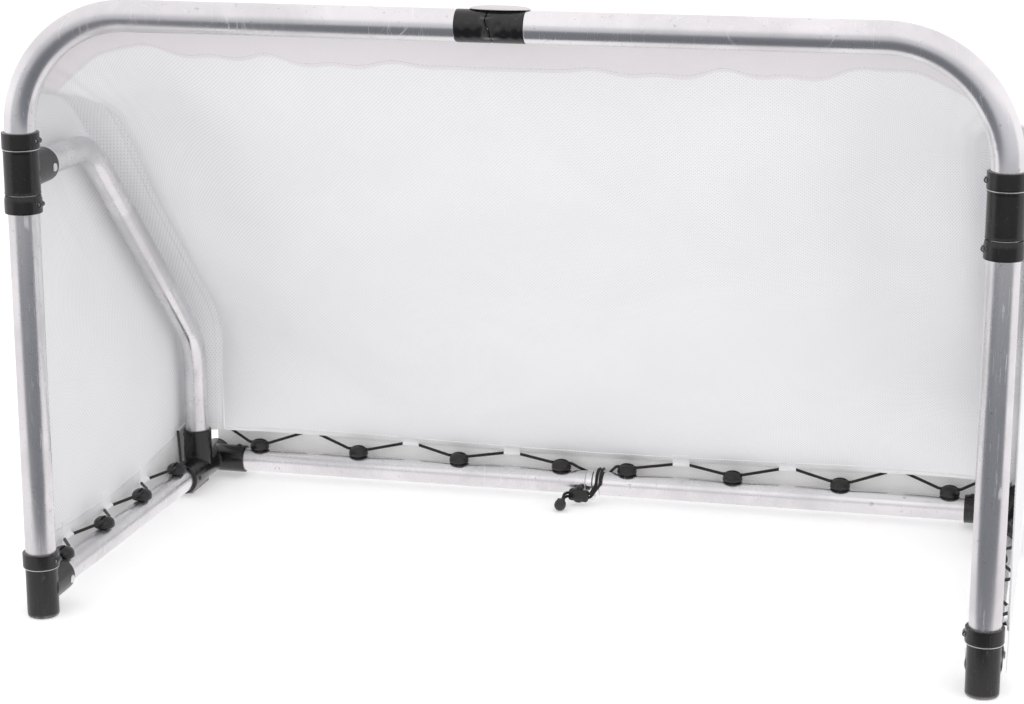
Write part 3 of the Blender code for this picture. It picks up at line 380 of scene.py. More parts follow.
def moulded_group() -> Tree:
    """Fine grain of a moulded surface.

    Returns:
        The node group.
    """

    def fill(w: Wiring, entry: Node, leave: Node) -> None:
        """Wires the group.

        Args:
            w: wiring of the group.
            entry: node with the group's inputs.
            leave: node for its results.
        """
        at = entry.outputs["Vector"]
        pebbles = w.add("ShaderNodeTexVoronoi", {"feature": "SMOOTH_F1"},
            {"Vector": at, "Scale": entry.outputs["Scale"]})
        wave = w.noise("3D", Vector=at, Scale=90.0, Detail=2.0)
        both = w.plus(w.times(pebbles.outputs[0], 0.5), wave)
        w.into(both, leave, "Height")

    return shader_group("moulded_grain", {"Vector": ("Vector", 0.0), "Scale": ("Float", 900.0)}, ["Height"],
        fill)


# Finishes


@dataclass(frozen=True)
class Finish:
    """A finish that builds its own material once.

    Attributes:
        name: the material's name.
        color: base colour, as linear red, green and blue.
        roughness: roughness of the clean surface.
    """

    name: str
    color: Point
    roughness: float

    def material(self) -> bpy.types.Material:
        """Returns the finish's material and makes it at the first call.

        Returns:
            The material.
        """
        if self.name in bpy.data.materials:
            return bpy.data.materials[self.name]
        material = bpy.data.materials.new(self.name)
        material.use_nodes = True
        material.diffuse_color = self.shade()
        wiring = Wiring(material.node_tree)
        shader = material.node_tree.nodes["Principled BSDF"]
        preset(shader, {"Base Color": self.shade(), "Roughness": self.roughness})
        self.dress(wiring, shader)
        return material

    def shade(self, factor: float = 1.0) -> tuple[float, ...]:
        """The base colour times a factor, with an alpha of 1."""
        return (*(min(c * factor, 1.0) for c in self.color), 1.0)

    def dress(self, w: Wiring, shader: Node) -> None:
        """Adds the finish's own nodes to its material.

        Args:
            w: adds nodes to the material's tree.
            shader: the material's Principled shader.
        """
        raise NotImplementedError

    @staticmethod
    def place(w: Wiring, grain: Grain) -> Socket:
        """Adds the coordinates that a pattern follows and returns them."""
        return w.add("ShaderNodeTexCoord").outputs[grain.value]

    @staticmethod
    def group(w: Wiring, tree: Tree, feeds: dict[str, object]) -> Node:
        """Places a shader group with its own values."""
        return w.add("ShaderNodeGroup", {"node_tree": tree}, feeds)

    @staticmethod
    def bump(w: Wiring, shader: Node, layers: Sequence[tuple[object, float, float]]) -> None:
        """Stacks bump layers onto a shader.

        Args:
            w: adds nodes to the material's tree.
            shader: the shader that gets the normal.
            layers: for each layer its height socket, strength and depth in metres.
        """
        normal = None
        for height, strength, depth in layers:
            feeds = {"Height": height, "Strength": strength, "Distance": depth}
            if normal is not None:
                feeds["Normal"] = normal
            normal = w.add("ShaderNodeBump", None, feeds).outputs["Normal"]
        w.into(normal, shader, "Normal")


@dataclass(frozen=True)
class Aluminium(Finish):
    """Bare drawn aluminium with handling marks and scratches.

    Attributes:
        scratched: how strongly the scratches show.
        drawn: whether the surface has a tube's own map for the drawn lines.
    """

    scratched: float = 0.8
    drawn: bool = True

    def dress(self, w: Wiring, shader: Node) -> None:
        """Adds drawn lines, smudges and scratches.

        Args:
            w: wiring of the material.
            shader: its main shader node.
        """
        place = self.place(w, Grain.SPACE)
        marks = self.group(w, smudges_group(), {"Vector": place, "Scale": 7.0})
        lines = self.group(w, scratches_group(), {"Vector": place, "Scale": 16.0, "Amount": self.scratched})
        preset(shader, {"Metallic": 1.0})
        tone = w.blend_color(marks.outputs["Cloud"], self.shade(), self.shade(0.8))
        tone = w.blend_color(lines.outputs["Mask"], tone, self.shade(1.12))
        spots = w.times(marks.outputs["Specks"], 0.55)
        tone = w.blend_color(spots, tone, (0.42, 0.41, 0.42, 1.0))
        w.into(tone, shader, "Base Color")
        rough = w.plus(self.roughness, w.times(marks.outputs["Cloud"], 0.12))
        rough = w.plus(rough, w.times(lines.outputs["Mask"], 0.36), clamp=True)
        layers = [(lines.outputs["Mask"], 0.35, 0.0002), (marks.outputs["Specks"], 0.2, 0.0002)]
        if self.drawn:
            grain = self.group(w, drawn_lines_group(), {"Vector": self.place(w, Grain.SURFACE)})
            rough = w.plus(rough, w.times(grain.outputs["Height"], 0.1), clamp=True)
            layers.append((grain.outputs["Height"], 0.16, 0.0001))
        w.into(rough, shader, "Roughness")
        self.bump(w, shader, layers)


@dataclass(frozen=True)
class Moulded(Finish):
    """Moulded plastic with a fine grain, dust and scuffs.

    Attributes:
        scuff: colour of the scuffed and dusty patches.
        worn: how strongly they show.
        grain_depth: depth of the moulded grain in metres.
        specular: level of the sheen.
        worn_below: height above the floor up to which the edge is rubbed pale, or 0.
    """

    scuff: Point = (0.16, 0.155, 0.15)
    worn: float = 0.22
    grain_depth: float = 0.00005
    specular: float = 0.6
    worn_below: float = 0.0

    def dress(self, w: Wiring, shader: Node) -> None:
        """Adds the grain, dust specks and rubbed patches.

        Args:
            w: wiring of the material.
            shader: its main shader node.
        """
        place = self.place(w, Grain.SPACE)
        marks = self.group(w, smudges_group(), {"Vector": place, "Scale": 22.0})
        lines = self.group(w, scratches_group(), {"Vector": place, "Scale": 34.0, "Amount": self.worn})
        dust = w.times(marks.outputs["Specks"], self.worn, clamp=True)
        light = tuple(c + 0.015 * (s - c) for c, s in zip(self.color, self.scuff))
        tone = w.blend_color(marks.outputs["Cloud"], self.shade(), (*light, 1.0))
        tone = w.blend_color(dust, tone, (*self.scuff, 1.0))
        tone = w.blend_color(lines.outputs["Mask"], tone, (*self.scuff, 1.0))
        if self.worn_below > 0:
            height = w.add("ShaderNodeSeparateXYZ", None, {"Vector": place}).outputs[2]
            near = w.ramp(height, self.worn_below * 0.35, self.worn_below, 1.0, 0.0)
            rubbed = w.times(near, w.ramp(marks.outputs["Cloud"], 0.15, 0.75, 0.25, 1.0))
            tone = w.blend_color(rubbed, tone, (*self.scuff, 1.0))
        w.into(tone, shader, "Base Color")
        preset(shader, {"Specular IOR Level": self.specular})
        rough = w.plus(self.roughness, w.times(marks.outputs["Cloud"], 0.1))
        rough = w.plus(rough, w.times(dust, 0.3), clamp=True)
        w.into(rough, shader, "Roughness")
        grain = self.group(w, moulded_group(), {"Vector": place, "Scale": 1100.0})
        self.bump(w, shader, [(grain.outputs["Height"], 0.35, self.grain_depth),
            (lines.outputs["Mask"], 0.3, 0.0001)])


@dataclass(frozen=True)
class MeshCloth(Finish):
    """Knitted mesh cloth with small holes.

    Attributes:
        pitch: distance between holes in metres.
        hole: hole's radius as a share of the pitch.
        opening: how clear the holes are.
        passing: share of soft light that goes through the cloth.
        crumple: depth in metres of the soft creases.
    """

    pitch: float = 0.0046
    hole: float = 0.25
    opening: float = 0.2
    passing: float = 0.58
    crumple: float = 0.004

    def dress(self, w: Wiring, shader: Node) -> None:
        """Adds the holes, the threads' relief and a faint unevenness of tone.

        Args:
            w: wiring of the material.
            shader: its main shader node.
        """
        place = self.place(w, Grain.SURFACE)
        knit = self.group(w, knit_group(), {"Vector": place, "Pitch": self.pitch, "Hole": self.hole})
        marks = self.group(w, smudges_group(), {"Vector": self.place(w, Grain.SPACE), "Scale": 5.0})
        tone = w.blend_color(marks.outputs["Cloud"], self.shade(), self.shade(0.955))
        tone = w.blend_color(knit.outputs["Hole"], tone, self.shade(0.97))
        w.into(tone, shader, "Base Color")
        rays = w.add("ShaderNodeLightPath")
        soft_ray = w.math("MAXIMUM", rays.outputs["Is Diffuse Ray"], rays.outputs["Is Shadow Ray"])
        clear = w.math("MAXIMUM", w.times(knit.outputs["Hole"], self.opening),
            w.times(soft_ray, self.passing))
        w.into(w.minus(1.0, clear), shader, "Alpha")
        preset(shader, {"Specular IOR Level": 0.25, "Sheen Weight": 0.25, "Sheen Roughness": 0.5})
        soft = w.noise("2D", Vector=place, Scale=9.0, Detail=2.5, Roughness=0.45, Distortion=0.8)
        self.bump(w, shader, [(soft, 0.5, self.crumple), (knit.outputs["Height"], 0.22, 0.0004)])


@dataclass(frozen=True)
class Webbing(Finish):
    """Plain white tape and thread."""

    def dress(self, w: Wiring, shader: Node) -> None:
        """Adds a fine woven rib and a little unevenness.

        Args:
            w: wiring of the material.
            shader: its main shader node.
        """
        place = self.place(w, Grain.SPACE)
        ribs = w.add("ShaderNodeTexWave", {"wave_type": "BANDS", "bands_direction": "DIAGONAL"},
            {"Vector": place, "Scale": 420.0, "Distortion": 1.5, "Detail": 2.0})
        marks = self.group(w, smudges_group(), {"Vector": place, "Scale": 18.0})
        tone = w.blend_color(marks.outputs["Cloud"], self.shade(), self.shade(0.9))
        w.into(tone, shader, "Base Color")
        preset(shader, {"Sheen Weight": 0.2})
        self.bump(w, shader, [(ribs.outputs[0], 0.3, 0.0003)])


@dataclass(frozen=True)
class Braid(Finish):
    """Braided cover of an elastic cord, from a map in metres: u along the cord and v round it.

    Attributes:
        thread: width of one strand in metres.
    """

    thread: float = 0.0011

    def dress(self, w: Wiring, shader: Node) -> None:
        """Adds crossing strands and loose fibres.

        Args:
            w: wiring of the material.
            shader: its main shader node.
        """
        place = self.place(w, Grain.SURFACE)
        parts = w.add("ShaderNodeSeparateXYZ", None, {"Vector": place})
        along = w.math("DIVIDE", parts.outputs[0], self.thread)
        around = w.math("DIVIDE", parts.outputs[1], self.thread)
        one = w.math("SINE", w.times(w.plus(along, around), math.pi))
        two = w.math("SINE", w.times(w.minus(along, around), math.pi))
        weave = w.math("ABSOLUTE", w.times(one, two))
        fuzz = w.noise("3D", Vector=self.place(w, Grain.SPACE), Scale=900.0, Detail=2.0)
        grey = tuple(c * 3.2 + 0.004 for c in self.color)
        mix = w.times(weave, fuzz, clamp=True)
        tone = w.blend_color(mix, self.shade(), (*grey, 1.0))
        w.into(tone, shader, "Base Color")
        preset(shader, {"Sheen Weight": 0.15})
        self.bump(w, shader, [(weave, 0.6, 0.0003), (fuzz, 0.2, 0.0002)])


ALUMINIUM = Aluminium("bare_aluminium_tube", (0.86, 0.85, 0.86), 0.17)
CAST_RIM = Aluminium("turned_aluminium_rim", (0.92, 0.91, 0.91), 0.2, scratched=0.3, drawn=False)
RIVET_METAL = Aluminium("pale_rivet_metal", (0.95, 0.95, 0.95), 0.3, scratched=0.2, drawn=False)
PIN_STEEL = Aluminium("hinge_pin_steel", (0.55, 0.55, 0.56), 0.3, scratched=0.3, drawn=False)
BLACK_FITTING = Moulded("black_moulded_fitting", (0.0034, 0.0027, 0.003), 0.2)
BLACK_FOOT = Moulded("black_moulded_foot", (0.0034, 0.0027, 0.003), 0.22, scuff=(0.22, 0.21, 0.2),
    worn_below=0.006)
BLACK_HOOK = Moulded("black_moulded_hook", (0.0038, 0.0032, 0.0034), 0.28, worn=0.12)
GREY_CLIP = Moulded("dark_grey_moulded_clip", (0.022, 0.021, 0.021), 0.42, worn=0.5)
WHITE_PAD = Moulded("pale_moulded_pad", (0.66, 0.63, 0.64), 0.42, scuff=(0.55, 0.54, 0.53), worn=0.25)
NET_CLOTH = MeshCloth("white_net_mesh", (0.945, 0.945, 0.965), 0.85)
# Doubled band cloth: darker partly for its real second layer and partly as painted shade along the crossbar.
SHADED_BAND_CLOTH = MeshCloth("doubled_net_band", (0.86, 0.825, 0.855), 0.85, hole=0.16, opening=0.08, crumple=0.006)
# Skirt cloth: paler than the net it continues, as painted light that offsets the shade it hangs in.
LIGHTENED_SKIRT_CLOTH = MeshCloth("net_hem_skirt", (0.985, 0.98, 0.975), 0.85, hole=0.18, opening=0.12, passing=0.75,
    crumple=0.005)
TAPE = Webbing("white_hem_tape", (0.97, 0.97, 0.98), 0.85)
THREAD = Webbing("white_sewing_thread", (0.8, 0.79, 0.81), 0.8)
THREAD_R = 0.00035
"""Radius of the sewing thread in metres."""

CORD_BRAID = Braid("black_elastic_braid", (0.0065, 0.0065, 0.0068), 0.75)


# Mesh building


def linked(name: str, data: bpy.types.ID) -> Object:
    """Adds an object to the scene.

    Args:
        name: name of the object.
        data: its mesh or camera.

    Returns:
        The object.
    """
    obj = bpy.data.objects.new(name, data)
    bpy.context.scene.collection.objects.link(obj)
    return obj


@contextmanager
def reworked(mesh: Mesh) -> Iterator[bmesh.types.BMesh]:
    """Opens a mesh for work and writes it back.

    Args:
        mesh: mesh to change.

    Returns:
        The mesh, open for edits.
    """
    body = bmesh.new()
    body.from_mesh(mesh)
    yield body
    body.to_mesh(mesh)
    body.free()


def finish_mesh(mesh: Mesh, sharp: float = 40.0, outward: bool = True) -> Mesh:
    """Turns a closed mesh's faces outwards and shades it smooth up to an angle.

    Args:
        mesh: the mesh to finish.
        sharp: edges above this angle in degrees stay sharp.
        outward: whether the mesh is closed, so that its normals can be worked out afresh.

    Returns:
        The same mesh.
    """
    if outward:
        with reworked(mesh) as body:
            bmesh.ops.recalc_face_normals(body, faces=body.faces)
    mesh.shade_smooth()
    mesh.set_sharp_from_angle(angle=math.radians(sharp))
    return mesh


def lattice(rows: np.ndarray, across: np.ndarray, down: np.ndarray, ring: bool, loop: bool,
        caps: bool) -> Mesh:
    """Mesh of a grid of points, with a map in metres.

    Args:
        rows: points as an array of rows by columns by 3.
        across: map value of each row, or of each point.
        down: map value of each column, with one more where the columns close in a ring.
        ring: whether the last column joins the first.
        loop: whether the last row joins the first.
        caps: whether the first and last rows are closed by faces.

    Returns:
        The mesh, not yet turned outwards.
    """
    n, m = rows.shape[:2]
    faces: list[tuple[int, ...]] = []
    maps: list[tuple[float, float]] = []
    row_maps = across if across.ndim == 2 else np.repeat(across[:, None], m + 1, axis=1)
    col_maps = down if down.ndim == 2 else np.repeat(down[None, :], n, axis=0)
    for i in range(n if loop else n - 1):
        j = (i + 1) % n
        for k in range(m if ring else m - 1):
            q = (k + 1) % m
            faces.append((i * m + k, i * m + q, j * m + q, j * m + k))
            maps += [(row_maps[i, min(k, m)], col_maps[i, k]),
                (row_maps[i, min(k + 1, m)], col_maps[i, k + 1]),
                (row_maps[j, min(k + 1, m)], col_maps[j, k + 1]), (row_maps[j, min(k, m)], col_maps[j, k])]
    if caps:
        for i, order in ((0, 1), (n - 1, -1)):
            face = tuple(i * m + k for k in range(m))[::order]
            faces.append(face)
            maps += [(float(row_maps[i, 0]), float(col_maps[i, k])) for k in range(m)][::order]
    mesh = bpy.data.meshes.new("shape")
    mesh.from_pydata([tuple(p) for p in rows.reshape(-1, 3)], [], faces)
    layer = mesh.uv_layers.new(name="UVMap")
    layer.data.foreach_set("uv", np.array(maps, np.float32).ravel())
    return mesh


def running(points: np.ndarray) -> np.ndarray:
    """Length along a line of points, at each of them."""
    return np.concatenate([[0.0], np.cumsum(np.linalg.norm(np.diff(points, axis=0), axis=1))])


def rounded_route(corners: Sequence[Vector], radii: Sequence[float], step: float) -> list[Vector]:
    """Points of a route with arcs at its inner corners.

    Args:
        corners: the route's corner points.
        radii: an arc's radius for each inner corner, cut down where a stretch is short.
        step: angle between two points of an arc, in degrees.

    Returns:
        The route's points.
    """
    points = [corners[0].copy()]
    for i in range(1, len(corners) - 1):
        back = corners[i - 1] - corners[i]
        ahead = corners[i + 1] - corners[i]
        room = 0.48 * min(back.length, ahead.length)
        half = back.angle(ahead) / 2
        if math.degrees(half) > 89.0:
            points.append(corners[i].copy())
            continue
        back.normalize()
        ahead.normalize()
        reach = min(radii[i - 1] / math.tan(half), room)
        centre = corners[i] + (back + ahead).normalized() * (reach / math.cos(half))
        start = corners[i] + back * reach - centre
        end = corners[i] + ahead * reach - centre
        turn = start.angle(end)
        count = max(2, math.ceil(math.degrees(turn) / step))
        for k in range(count + 1):
            share = k / count
            arc = start * math.sin((1 - share) * turn) + end * math.sin(share * turn)
            points.append(centre + arc / math.sin(turn))
    points.append(corners[-1].copy())
    return points


def frames_along(points: Sequence[Vector]) -> list[tuple[Vector, Vector]]:
    """Two directions square to a route at each of its points, carried along without twisting.

    Args:
        points: the route.

    Returns:
        The two directions at each point.
    """
    tangents = []
    for i in range(len(points)):
        before = points[max(i - 1, 0)]
        after = points[min(i + 1, len(points) - 1)]
        tangents.append((after - before).normalized())
    first = tangents[0].orthogonal().normalized()
    frames = []
    for i, tangent in enumerate(tangents):
        if i:
            first = tangents[i - 1].rotation_difference(tangent) @ first
        first = (first - tangent * first.dot(tangent)).normalized()
        frames.append((first.copy(), tangent.cross(first)))
    return frames


def sweep(points: Sequence[Vector], radii: Sequence[float], sides: int) -> Mesh:
    """Solid round mesh along a route, with a radius at each point and rounded caps from the radii.

    Args:
        points: the route.
        radii: radius at each point.
        sides: faces round the route.

    Returns:
        The mesh.
    """
    frames = frames_along(points)
    angles = np.linspace(0, 2 * math.pi, sides, endpoint=False)
    rows = np.array([[p + (a * math.cos(t) + b * math.sin(t)) * r for t in angles]
        for p, (a, b), r in zip(points, frames, radii)])
    steps = [0.0] + [(q - p).length for p, q in zip(points, points[1:])]
    girth = np.linspace(0, 2 * math.pi * max(radii), sides + 1)
    return finish_mesh(lattice(rows, np.cumsum(steps), girth, True, False, True))


def hollow_tube(points: Sequence[Vector], radius: float, wall: float, sides: int = 72,
        edge: float = 0.0004) -> Mesh:
    """Hollow tube along a route, with broken edges and a second ring by each for even shading.

    Args:
        points: route of the axis.
        radius: outer radius.
        wall: thickness.
        sides: faces round the tube.
        edge: width of the broken edges.

    Returns:
        The mesh.
    """
    frames = frames_along(points)
    ahead = (points[1] - points[0]).normalized()
    behind = (points[-1] - points[-2]).normalized()
    stations = [(points[0], frames[0], radius - edge)]
    stations += [(points[0] + ahead * edge * k, frames[0], radius) for k in (1, 3)]
    stations += [(p, f, radius) for p, f in zip(points[1:-1], frames[1:-1])]
    stations += [(points[-1] - behind * edge * k, frames[-1], radius) for k in (3, 1)]
    stations.append((points[-1], frames[-1], radius - edge))
    stations += [(p, f, radius - wall) for p, f in zip(reversed(points), reversed(frames))]
    angles = np.linspace(0, 2 * math.pi, sides, endpoint=False)
    rows = np.array([[p + (a * math.cos(t) + b * math.sin(t)) * r for t in angles] for p, (a, b),
        r in stations])
    along = np.cumsum([0.0] + [(q[0] - p[0]).length for p, q in zip(stations, stations[1:])])
    girth = np.linspace(0, 2 * math.pi * radius, sides + 1)
    return finish_mesh(lattice(rows, along, girth, True, True, False), 50.0)


def aim(at: Vector, axis: Vector) -> Matrix:
    """Matrix that puts a shape's own +Z along an axis at a place."""
    turn = Quaternion(axis.to_track_quat("Z", "Y"))
    return Matrix.Translation(at) @ turn.to_matrix().to_4x4()


def turned(profile: Profile, at: Vector = Vector(), axis: Vector = Z_AXIS, sides: int = 64,
        closed: bool = False) -> Mesh:
    """Mesh turned round an axis from a profile of radius and height.

    Args:
        profile: points of the profile. An open one starts and ends on the axis.
        at: where height 0 lies.
        axis: the way of increasing height.
        sides: number of steps round the axis.
        closed: whether the profile is a closed ring that keeps off the axis.

    Returns:
        The mesh with its faces outwards.
    """
    angles = np.linspace(0, 2 * math.pi, sides, endpoint=False)
    rows = np.array([[(r * math.cos(t), r * math.sin(t), z) for t in angles] for r, z in profile])
    reach = max(r for r, _ in profile)
    steps = np.cumsum([0.0] + [math.dist(p, q) for p, q in zip(profile, profile[1:])])
    mesh = lattice(rows, steps, np.linspace(0, 2 * math.pi * reach, sides + 1), True, closed, False)
    with reworked(mesh) as body:
        bmesh.ops.remove_doubles(body, verts=body.verts, dist=1e-6)
    mesh.transform(aim(at, axis))
    return finish_mesh(mesh, 38.0)


def soften(profile: Profile, radius: float, closed: bool = False,
        steps: int = 3) -> list[tuple[float, float]]:
    """Rounds a profile's corners that don't lie on the axis.

    Args:
        profile: points of radius and height.
        radius: size of the rounding, cut down where an edge is short.
        closed: whether the profile is a closed ring.
        steps: points in each rounding.

    Returns:
        The rounded profile.
    """
    count = len(profile)
    result: list[tuple[float, float]] = []
    for i, (r, z) in enumerate(profile):
        if not closed and i in (0, count - 1):
            result.append((r, z))
            continue
        here = Vector((r, z))
        back = Vector(profile[i - 1]) - here
        ahead = Vector(profile[(i + 1) % count]) - here
        cut = min(radius, back.length * 0.45, ahead.length * 0.45)
        one = here + back.normalized() * cut
        two = here + ahead.normalized() * cut
        for k in range(steps + 1):
            t = k / steps
            p = one * (1 - t) ** 2 + here * 2 * t * (1 - t) + two * t * t
            result.append((p.x, p.y))
    return result


def rod(radius: float, low: float, high: float, rounding: float = 0.0008) -> list[tuple[float, float]]:
    """Profile of a solid rod with rounded edges."""
    return soften([(0.0, high), (radius, high), (radius, low), (0.0, low)], rounding)


def pipe(outer: float, inner: float, low: float, high: float,
        rounding: float = 0.0006) -> list[tuple[float, float]]:
    """Closed profile of a ring with rounded edges."""
    return soften([(outer, high), (outer, low), (inner, low), (inner, high)], rounding, closed=True)


def box_mesh(at: Vector, size: Sequence[float], rounding: float, segments: int = 3) -> Mesh:
    """Box with rounded edges.

    Args:
        at: its middle.
        size: lengths along X, Y and Z.
        rounding: radius of the edges.
        segments: steps across an edge.

    Returns:
        The mesh.
    """
    body = bmesh.new()
    bmesh.ops.create_cube(body, size=1.0, matrix=Matrix.Translation(at) @ Matrix.Diagonal((*size, 1.0)))
    bmesh.ops.bevel(body, geom=body.edges[:], offset=rounding, segments=segments, profile=0.5, affect="EDGES")
    mesh = bpy.data.meshes.new("box")
    body.to_mesh(mesh)
    body.free()
    return finish_mesh(mesh)


def joined(meshes: Sequence[Mesh]) -> Mesh:
    """One mesh of several, with their maps kept.

    Args:
        meshes: meshes to put together. They are removed.

    Returns:
        The mesh.
    """
    body = bmesh.new()
    for mesh in meshes:
        body.from_mesh(mesh)
    result = bpy.data.meshes.new("joined")
    body.to_mesh(result)
    body.free()
    for mesh in meshes:
        bpy.data.meshes.remove(mesh)
    return result


def evaluated_mesh(obj: Object) -> Mesh:
    """Plain mesh of an object with its modifiers worked in. The object is removed.

    Args:
        obj: object with modifiers.

    Returns:
        The mesh.
    """
    bpy.context.view_layer.update()
    graph = bpy.context.evaluated_depsgraph_get()
    mesh = bpy.data.meshes.new_from_object(obj.evaluated_get(graph))
    bpy.data.objects.remove(obj, do_unlink=True)
    return mesh


def carve(obj: Object, tools: Sequence[Mesh]) -> list[Object]:
    """Adds a Boolean to an object for each mesh that is cut away from it.

    Args:
        obj: the object that is cut.
        tools: closed meshes to cut away.

    Returns:
        The helper objects, to be removed once the object has been worked out.
    """
    helpers = []
    for i, tool in enumerate(tools):
        helper = linked(f"{obj.name}_cut_{i}", tool)
        helper.hide_render = True
        cut = obj.modifiers.new(f"cut_{i}", "BOOLEAN")
        cut.operation = "DIFFERENCE"
        cut.solver = "EXACT"
        cut.object = helper
        helpers.append(helper)
    return helpers


def fused(meshes: Sequence[Mesh], voxel: float = 0.0007, passes: int = 4, bores: Sequence[Mesh] = ()) -> Mesh:
    """One moulded body of several overlapping closed shapes, with soft inner corners.

    Args:
        meshes: closed meshes that overlap.
        voxel: size of the grid that the body is rebuilt on, in metres.
        passes: how often the surface is smoothed.
        bores: closed meshes that are cut away at the end, with crisp rims.

    Returns:
        The fused mesh.
    """
    helper = linked("moulding", joined(meshes))
    remesh = helper.modifiers.new("one_body", "REMESH")
    remesh.mode = "VOXEL"
    remesh.voxel_size = voxel
    soft = helper.modifiers.new("soft_corners", "SMOOTH")
    soft.factor = 0.5
    soft.iterations = passes
    tools = carve(helper, bores)
    mesh = evaluated_mesh(helper)
    for tool in tools:
        bpy.data.objects.remove(tool, do_unlink=True)
    return finish_mesh(mesh, 42.0, False)


# Pieces


TAB_STEPS = (-1.0, -0.93, -0.8, 0.0, 0.8, 0.93, 1.0)
"""Where a hem loop's rings lie, as shares of half its width."""


def place_piece(name: str, mesh: Mesh, finish: Finish, body: str, slot: str,
        nodes: Sequence[str] = ()) -> Object:
    """Adds a finished piece to the scene and hangs it on its body.

    Args:
        name: the piece's name.
        mesh: its mesh, already in place.
        finish: its finish.
        body: the body that it rides on.
        slot: the record's material slot; not used.
        nodes: the solids that it stands for.

    Returns:
        The new object.
    """
    obj = linked(name, mesh)
    mesh.name = name
    mesh.materials.clear()
    mesh.materials.append(finish.material())
    mesh.polygons.foreach_set("material_index", np.zeros(len(mesh.polygons), np.int32))
    if nodes:
        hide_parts(*nodes)
    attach(obj, body)
    log.info("%s: %d faces on %s", name, len(mesh.polygons), body)
    return obj


def for_node(node: str, ending: str, mesh: Mesh, finish: Finish, body: str) -> Object:
    """Places a piece that stands for one solid and takes its name from it."""
    return place_piece(f"{node}_{ending}", mesh, finish, body, node, [node])


class NodeMaker:
    """Builds the Geometry Nodes trees that set out repeated pieces."""

    @staticmethod
    def new_tree(name: str, inputs: dict[str, str]) -> tuple[Tree, Wiring, Node]:
        """Makes an empty tree with named inputs and one geometry output.

        Args:
            name: name of the tree.
            inputs: kind of each input, by name.

        Returns:
            The tree, its wiring and its input node.
        """
        tree = bpy.data.node_groups.new(name, "GeometryNodeTree")
        tree.interface.new_socket("Geometry", in_out="INPUT", socket_type="NodeSocketGeometry")
        for label, kind in inputs.items():
            tree.interface.new_socket(label, in_out="INPUT", socket_type=f"NodeSocket{kind}")
        tree.interface.new_socket("Geometry", in_out="OUTPUT", socket_type="NodeSocketGeometry")
        wiring = Wiring(tree)
        return tree, wiring, wiring.add("NodeGroupInput")

    @classmethod
    def set_out(cls) -> Tree:
        """Tree that puts one piece on each point, turned to the point's own facing.

        Returns:
            The tree.
        """
        name = "set_out_pieces"
        if name in bpy.data.node_groups:
            return bpy.data.node_groups[name]
        tree, w, entry = cls.new_tree(name, {"Piece": "Object", "Size": "Float", "Material": "Material"})
        piece = w.add("GeometryNodeObjectInfo", {"transform_space": "ORIGINAL"},
            {"Object": entry.outputs["Piece"]})
        facing = w.add("GeometryNodeInputNamedAttribute", {"data_type": "FLOAT_VECTOR"}, {"Name": "facing"})
        along = w.add("GeometryNodeInputNamedAttribute", {"data_type": "FLOAT_VECTOR"}, {"Name": "along"})
        turn = w.add("FunctionNodeAlignRotationToVector", {"axis": "Z"}, {"Vector": facing.outputs[0]})
        second = w.add("FunctionNodeAlignRotationToVector", {"axis": "X", "pivot_axis": "Z"},
            {"Rotation": turn.outputs[0], "Vector": along.outputs[0]})
        placed = w.add("GeometryNodeInstanceOnPoints", None,
            {"Points": entry.outputs["Geometry"], "Instance": piece.outputs["Geometry"],
            "Rotation": second.outputs[0], "Scale": entry.outputs["Size"]})
        cls.close(w, placed.outputs[0], entry)
        return tree

    @classmethod
    def stitch_line(cls) -> Tree:
        """Tree that sews a line of stitches along every edge chain of a mesh.

        Returns:
            The tree.
        """
        name = "sew_stitches"
        if name in bpy.data.node_groups:
            return bpy.data.node_groups[name]
        tree, w, entry = cls.new_tree(name, {"Spacing": "Float", "Length": "Float", "Thread": "Float",
            "Material": "Material"})
        line = w.add("GeometryNodeMeshToCurve", None, {"Mesh": entry.outputs["Geometry"]})
        even = w.add("GeometryNodeResampleCurve", {"mode": "LENGTH"},
            {"Curve": line.outputs[0], "Length": entry.outputs["Spacing"]})
        thread = w.add("GeometryNodeMeshCylinder", {"fill_type": "NGON"},
            {"Vertices": 6, "Radius": entry.outputs["Thread"], "Depth": entry.outputs["Length"]})
        tangent = w.add("GeometryNodeInputTangent")
        turn = w.add("FunctionNodeAlignRotationToVector", {"axis": "Z"}, {"Vector": tangent.outputs[0]})
        placed = w.add("GeometryNodeInstanceOnPoints", None,
            {"Points": even.outputs[0], "Instance": thread.outputs["Mesh"], "Rotation": turn.outputs[0]})
        cls.close(w, placed.outputs[0], entry)
        return tree

    @staticmethod
    def close(w: Wiring, result: Socket, entry: Node) -> None:
        """Ends a tree: instances become real and get the material.

        Args:
            w: wiring of the tree.
            result: the instances.
            entry: the input node.
        """
        real = w.add("GeometryNodeRealizeInstances", None, {0: result})
        dressed = w.add("GeometryNodeSetMaterial", None,
            {"Geometry": real.outputs[0], "Material": entry.outputs["Material"]})
        w.add("NodeGroupOutput", None, {0: dressed.outputs[0]})

    @staticmethod
    def run(tree: Tree, source: Mesh, values: dict[str, object]) -> Mesh:
        """Runs a tree on a mesh and returns the plain result.

        Args:
            tree: the tree to run.
            source: the points or lines that it works on.
            values: input name to value.

        Returns:
            The tree's result as a mesh.
        """
        helper = linked("source", source)
        modifier = helper.modifiers.new("set_out", "NODES")
        modifier.node_group = tree
        for item in tree.interface.items_tree:
            if item.item_type == "SOCKET" and item.in_out == "INPUT" and item.name in values:
                modifier[item.identifier] = values[item.name]
        return evaluated_mesh(helper)


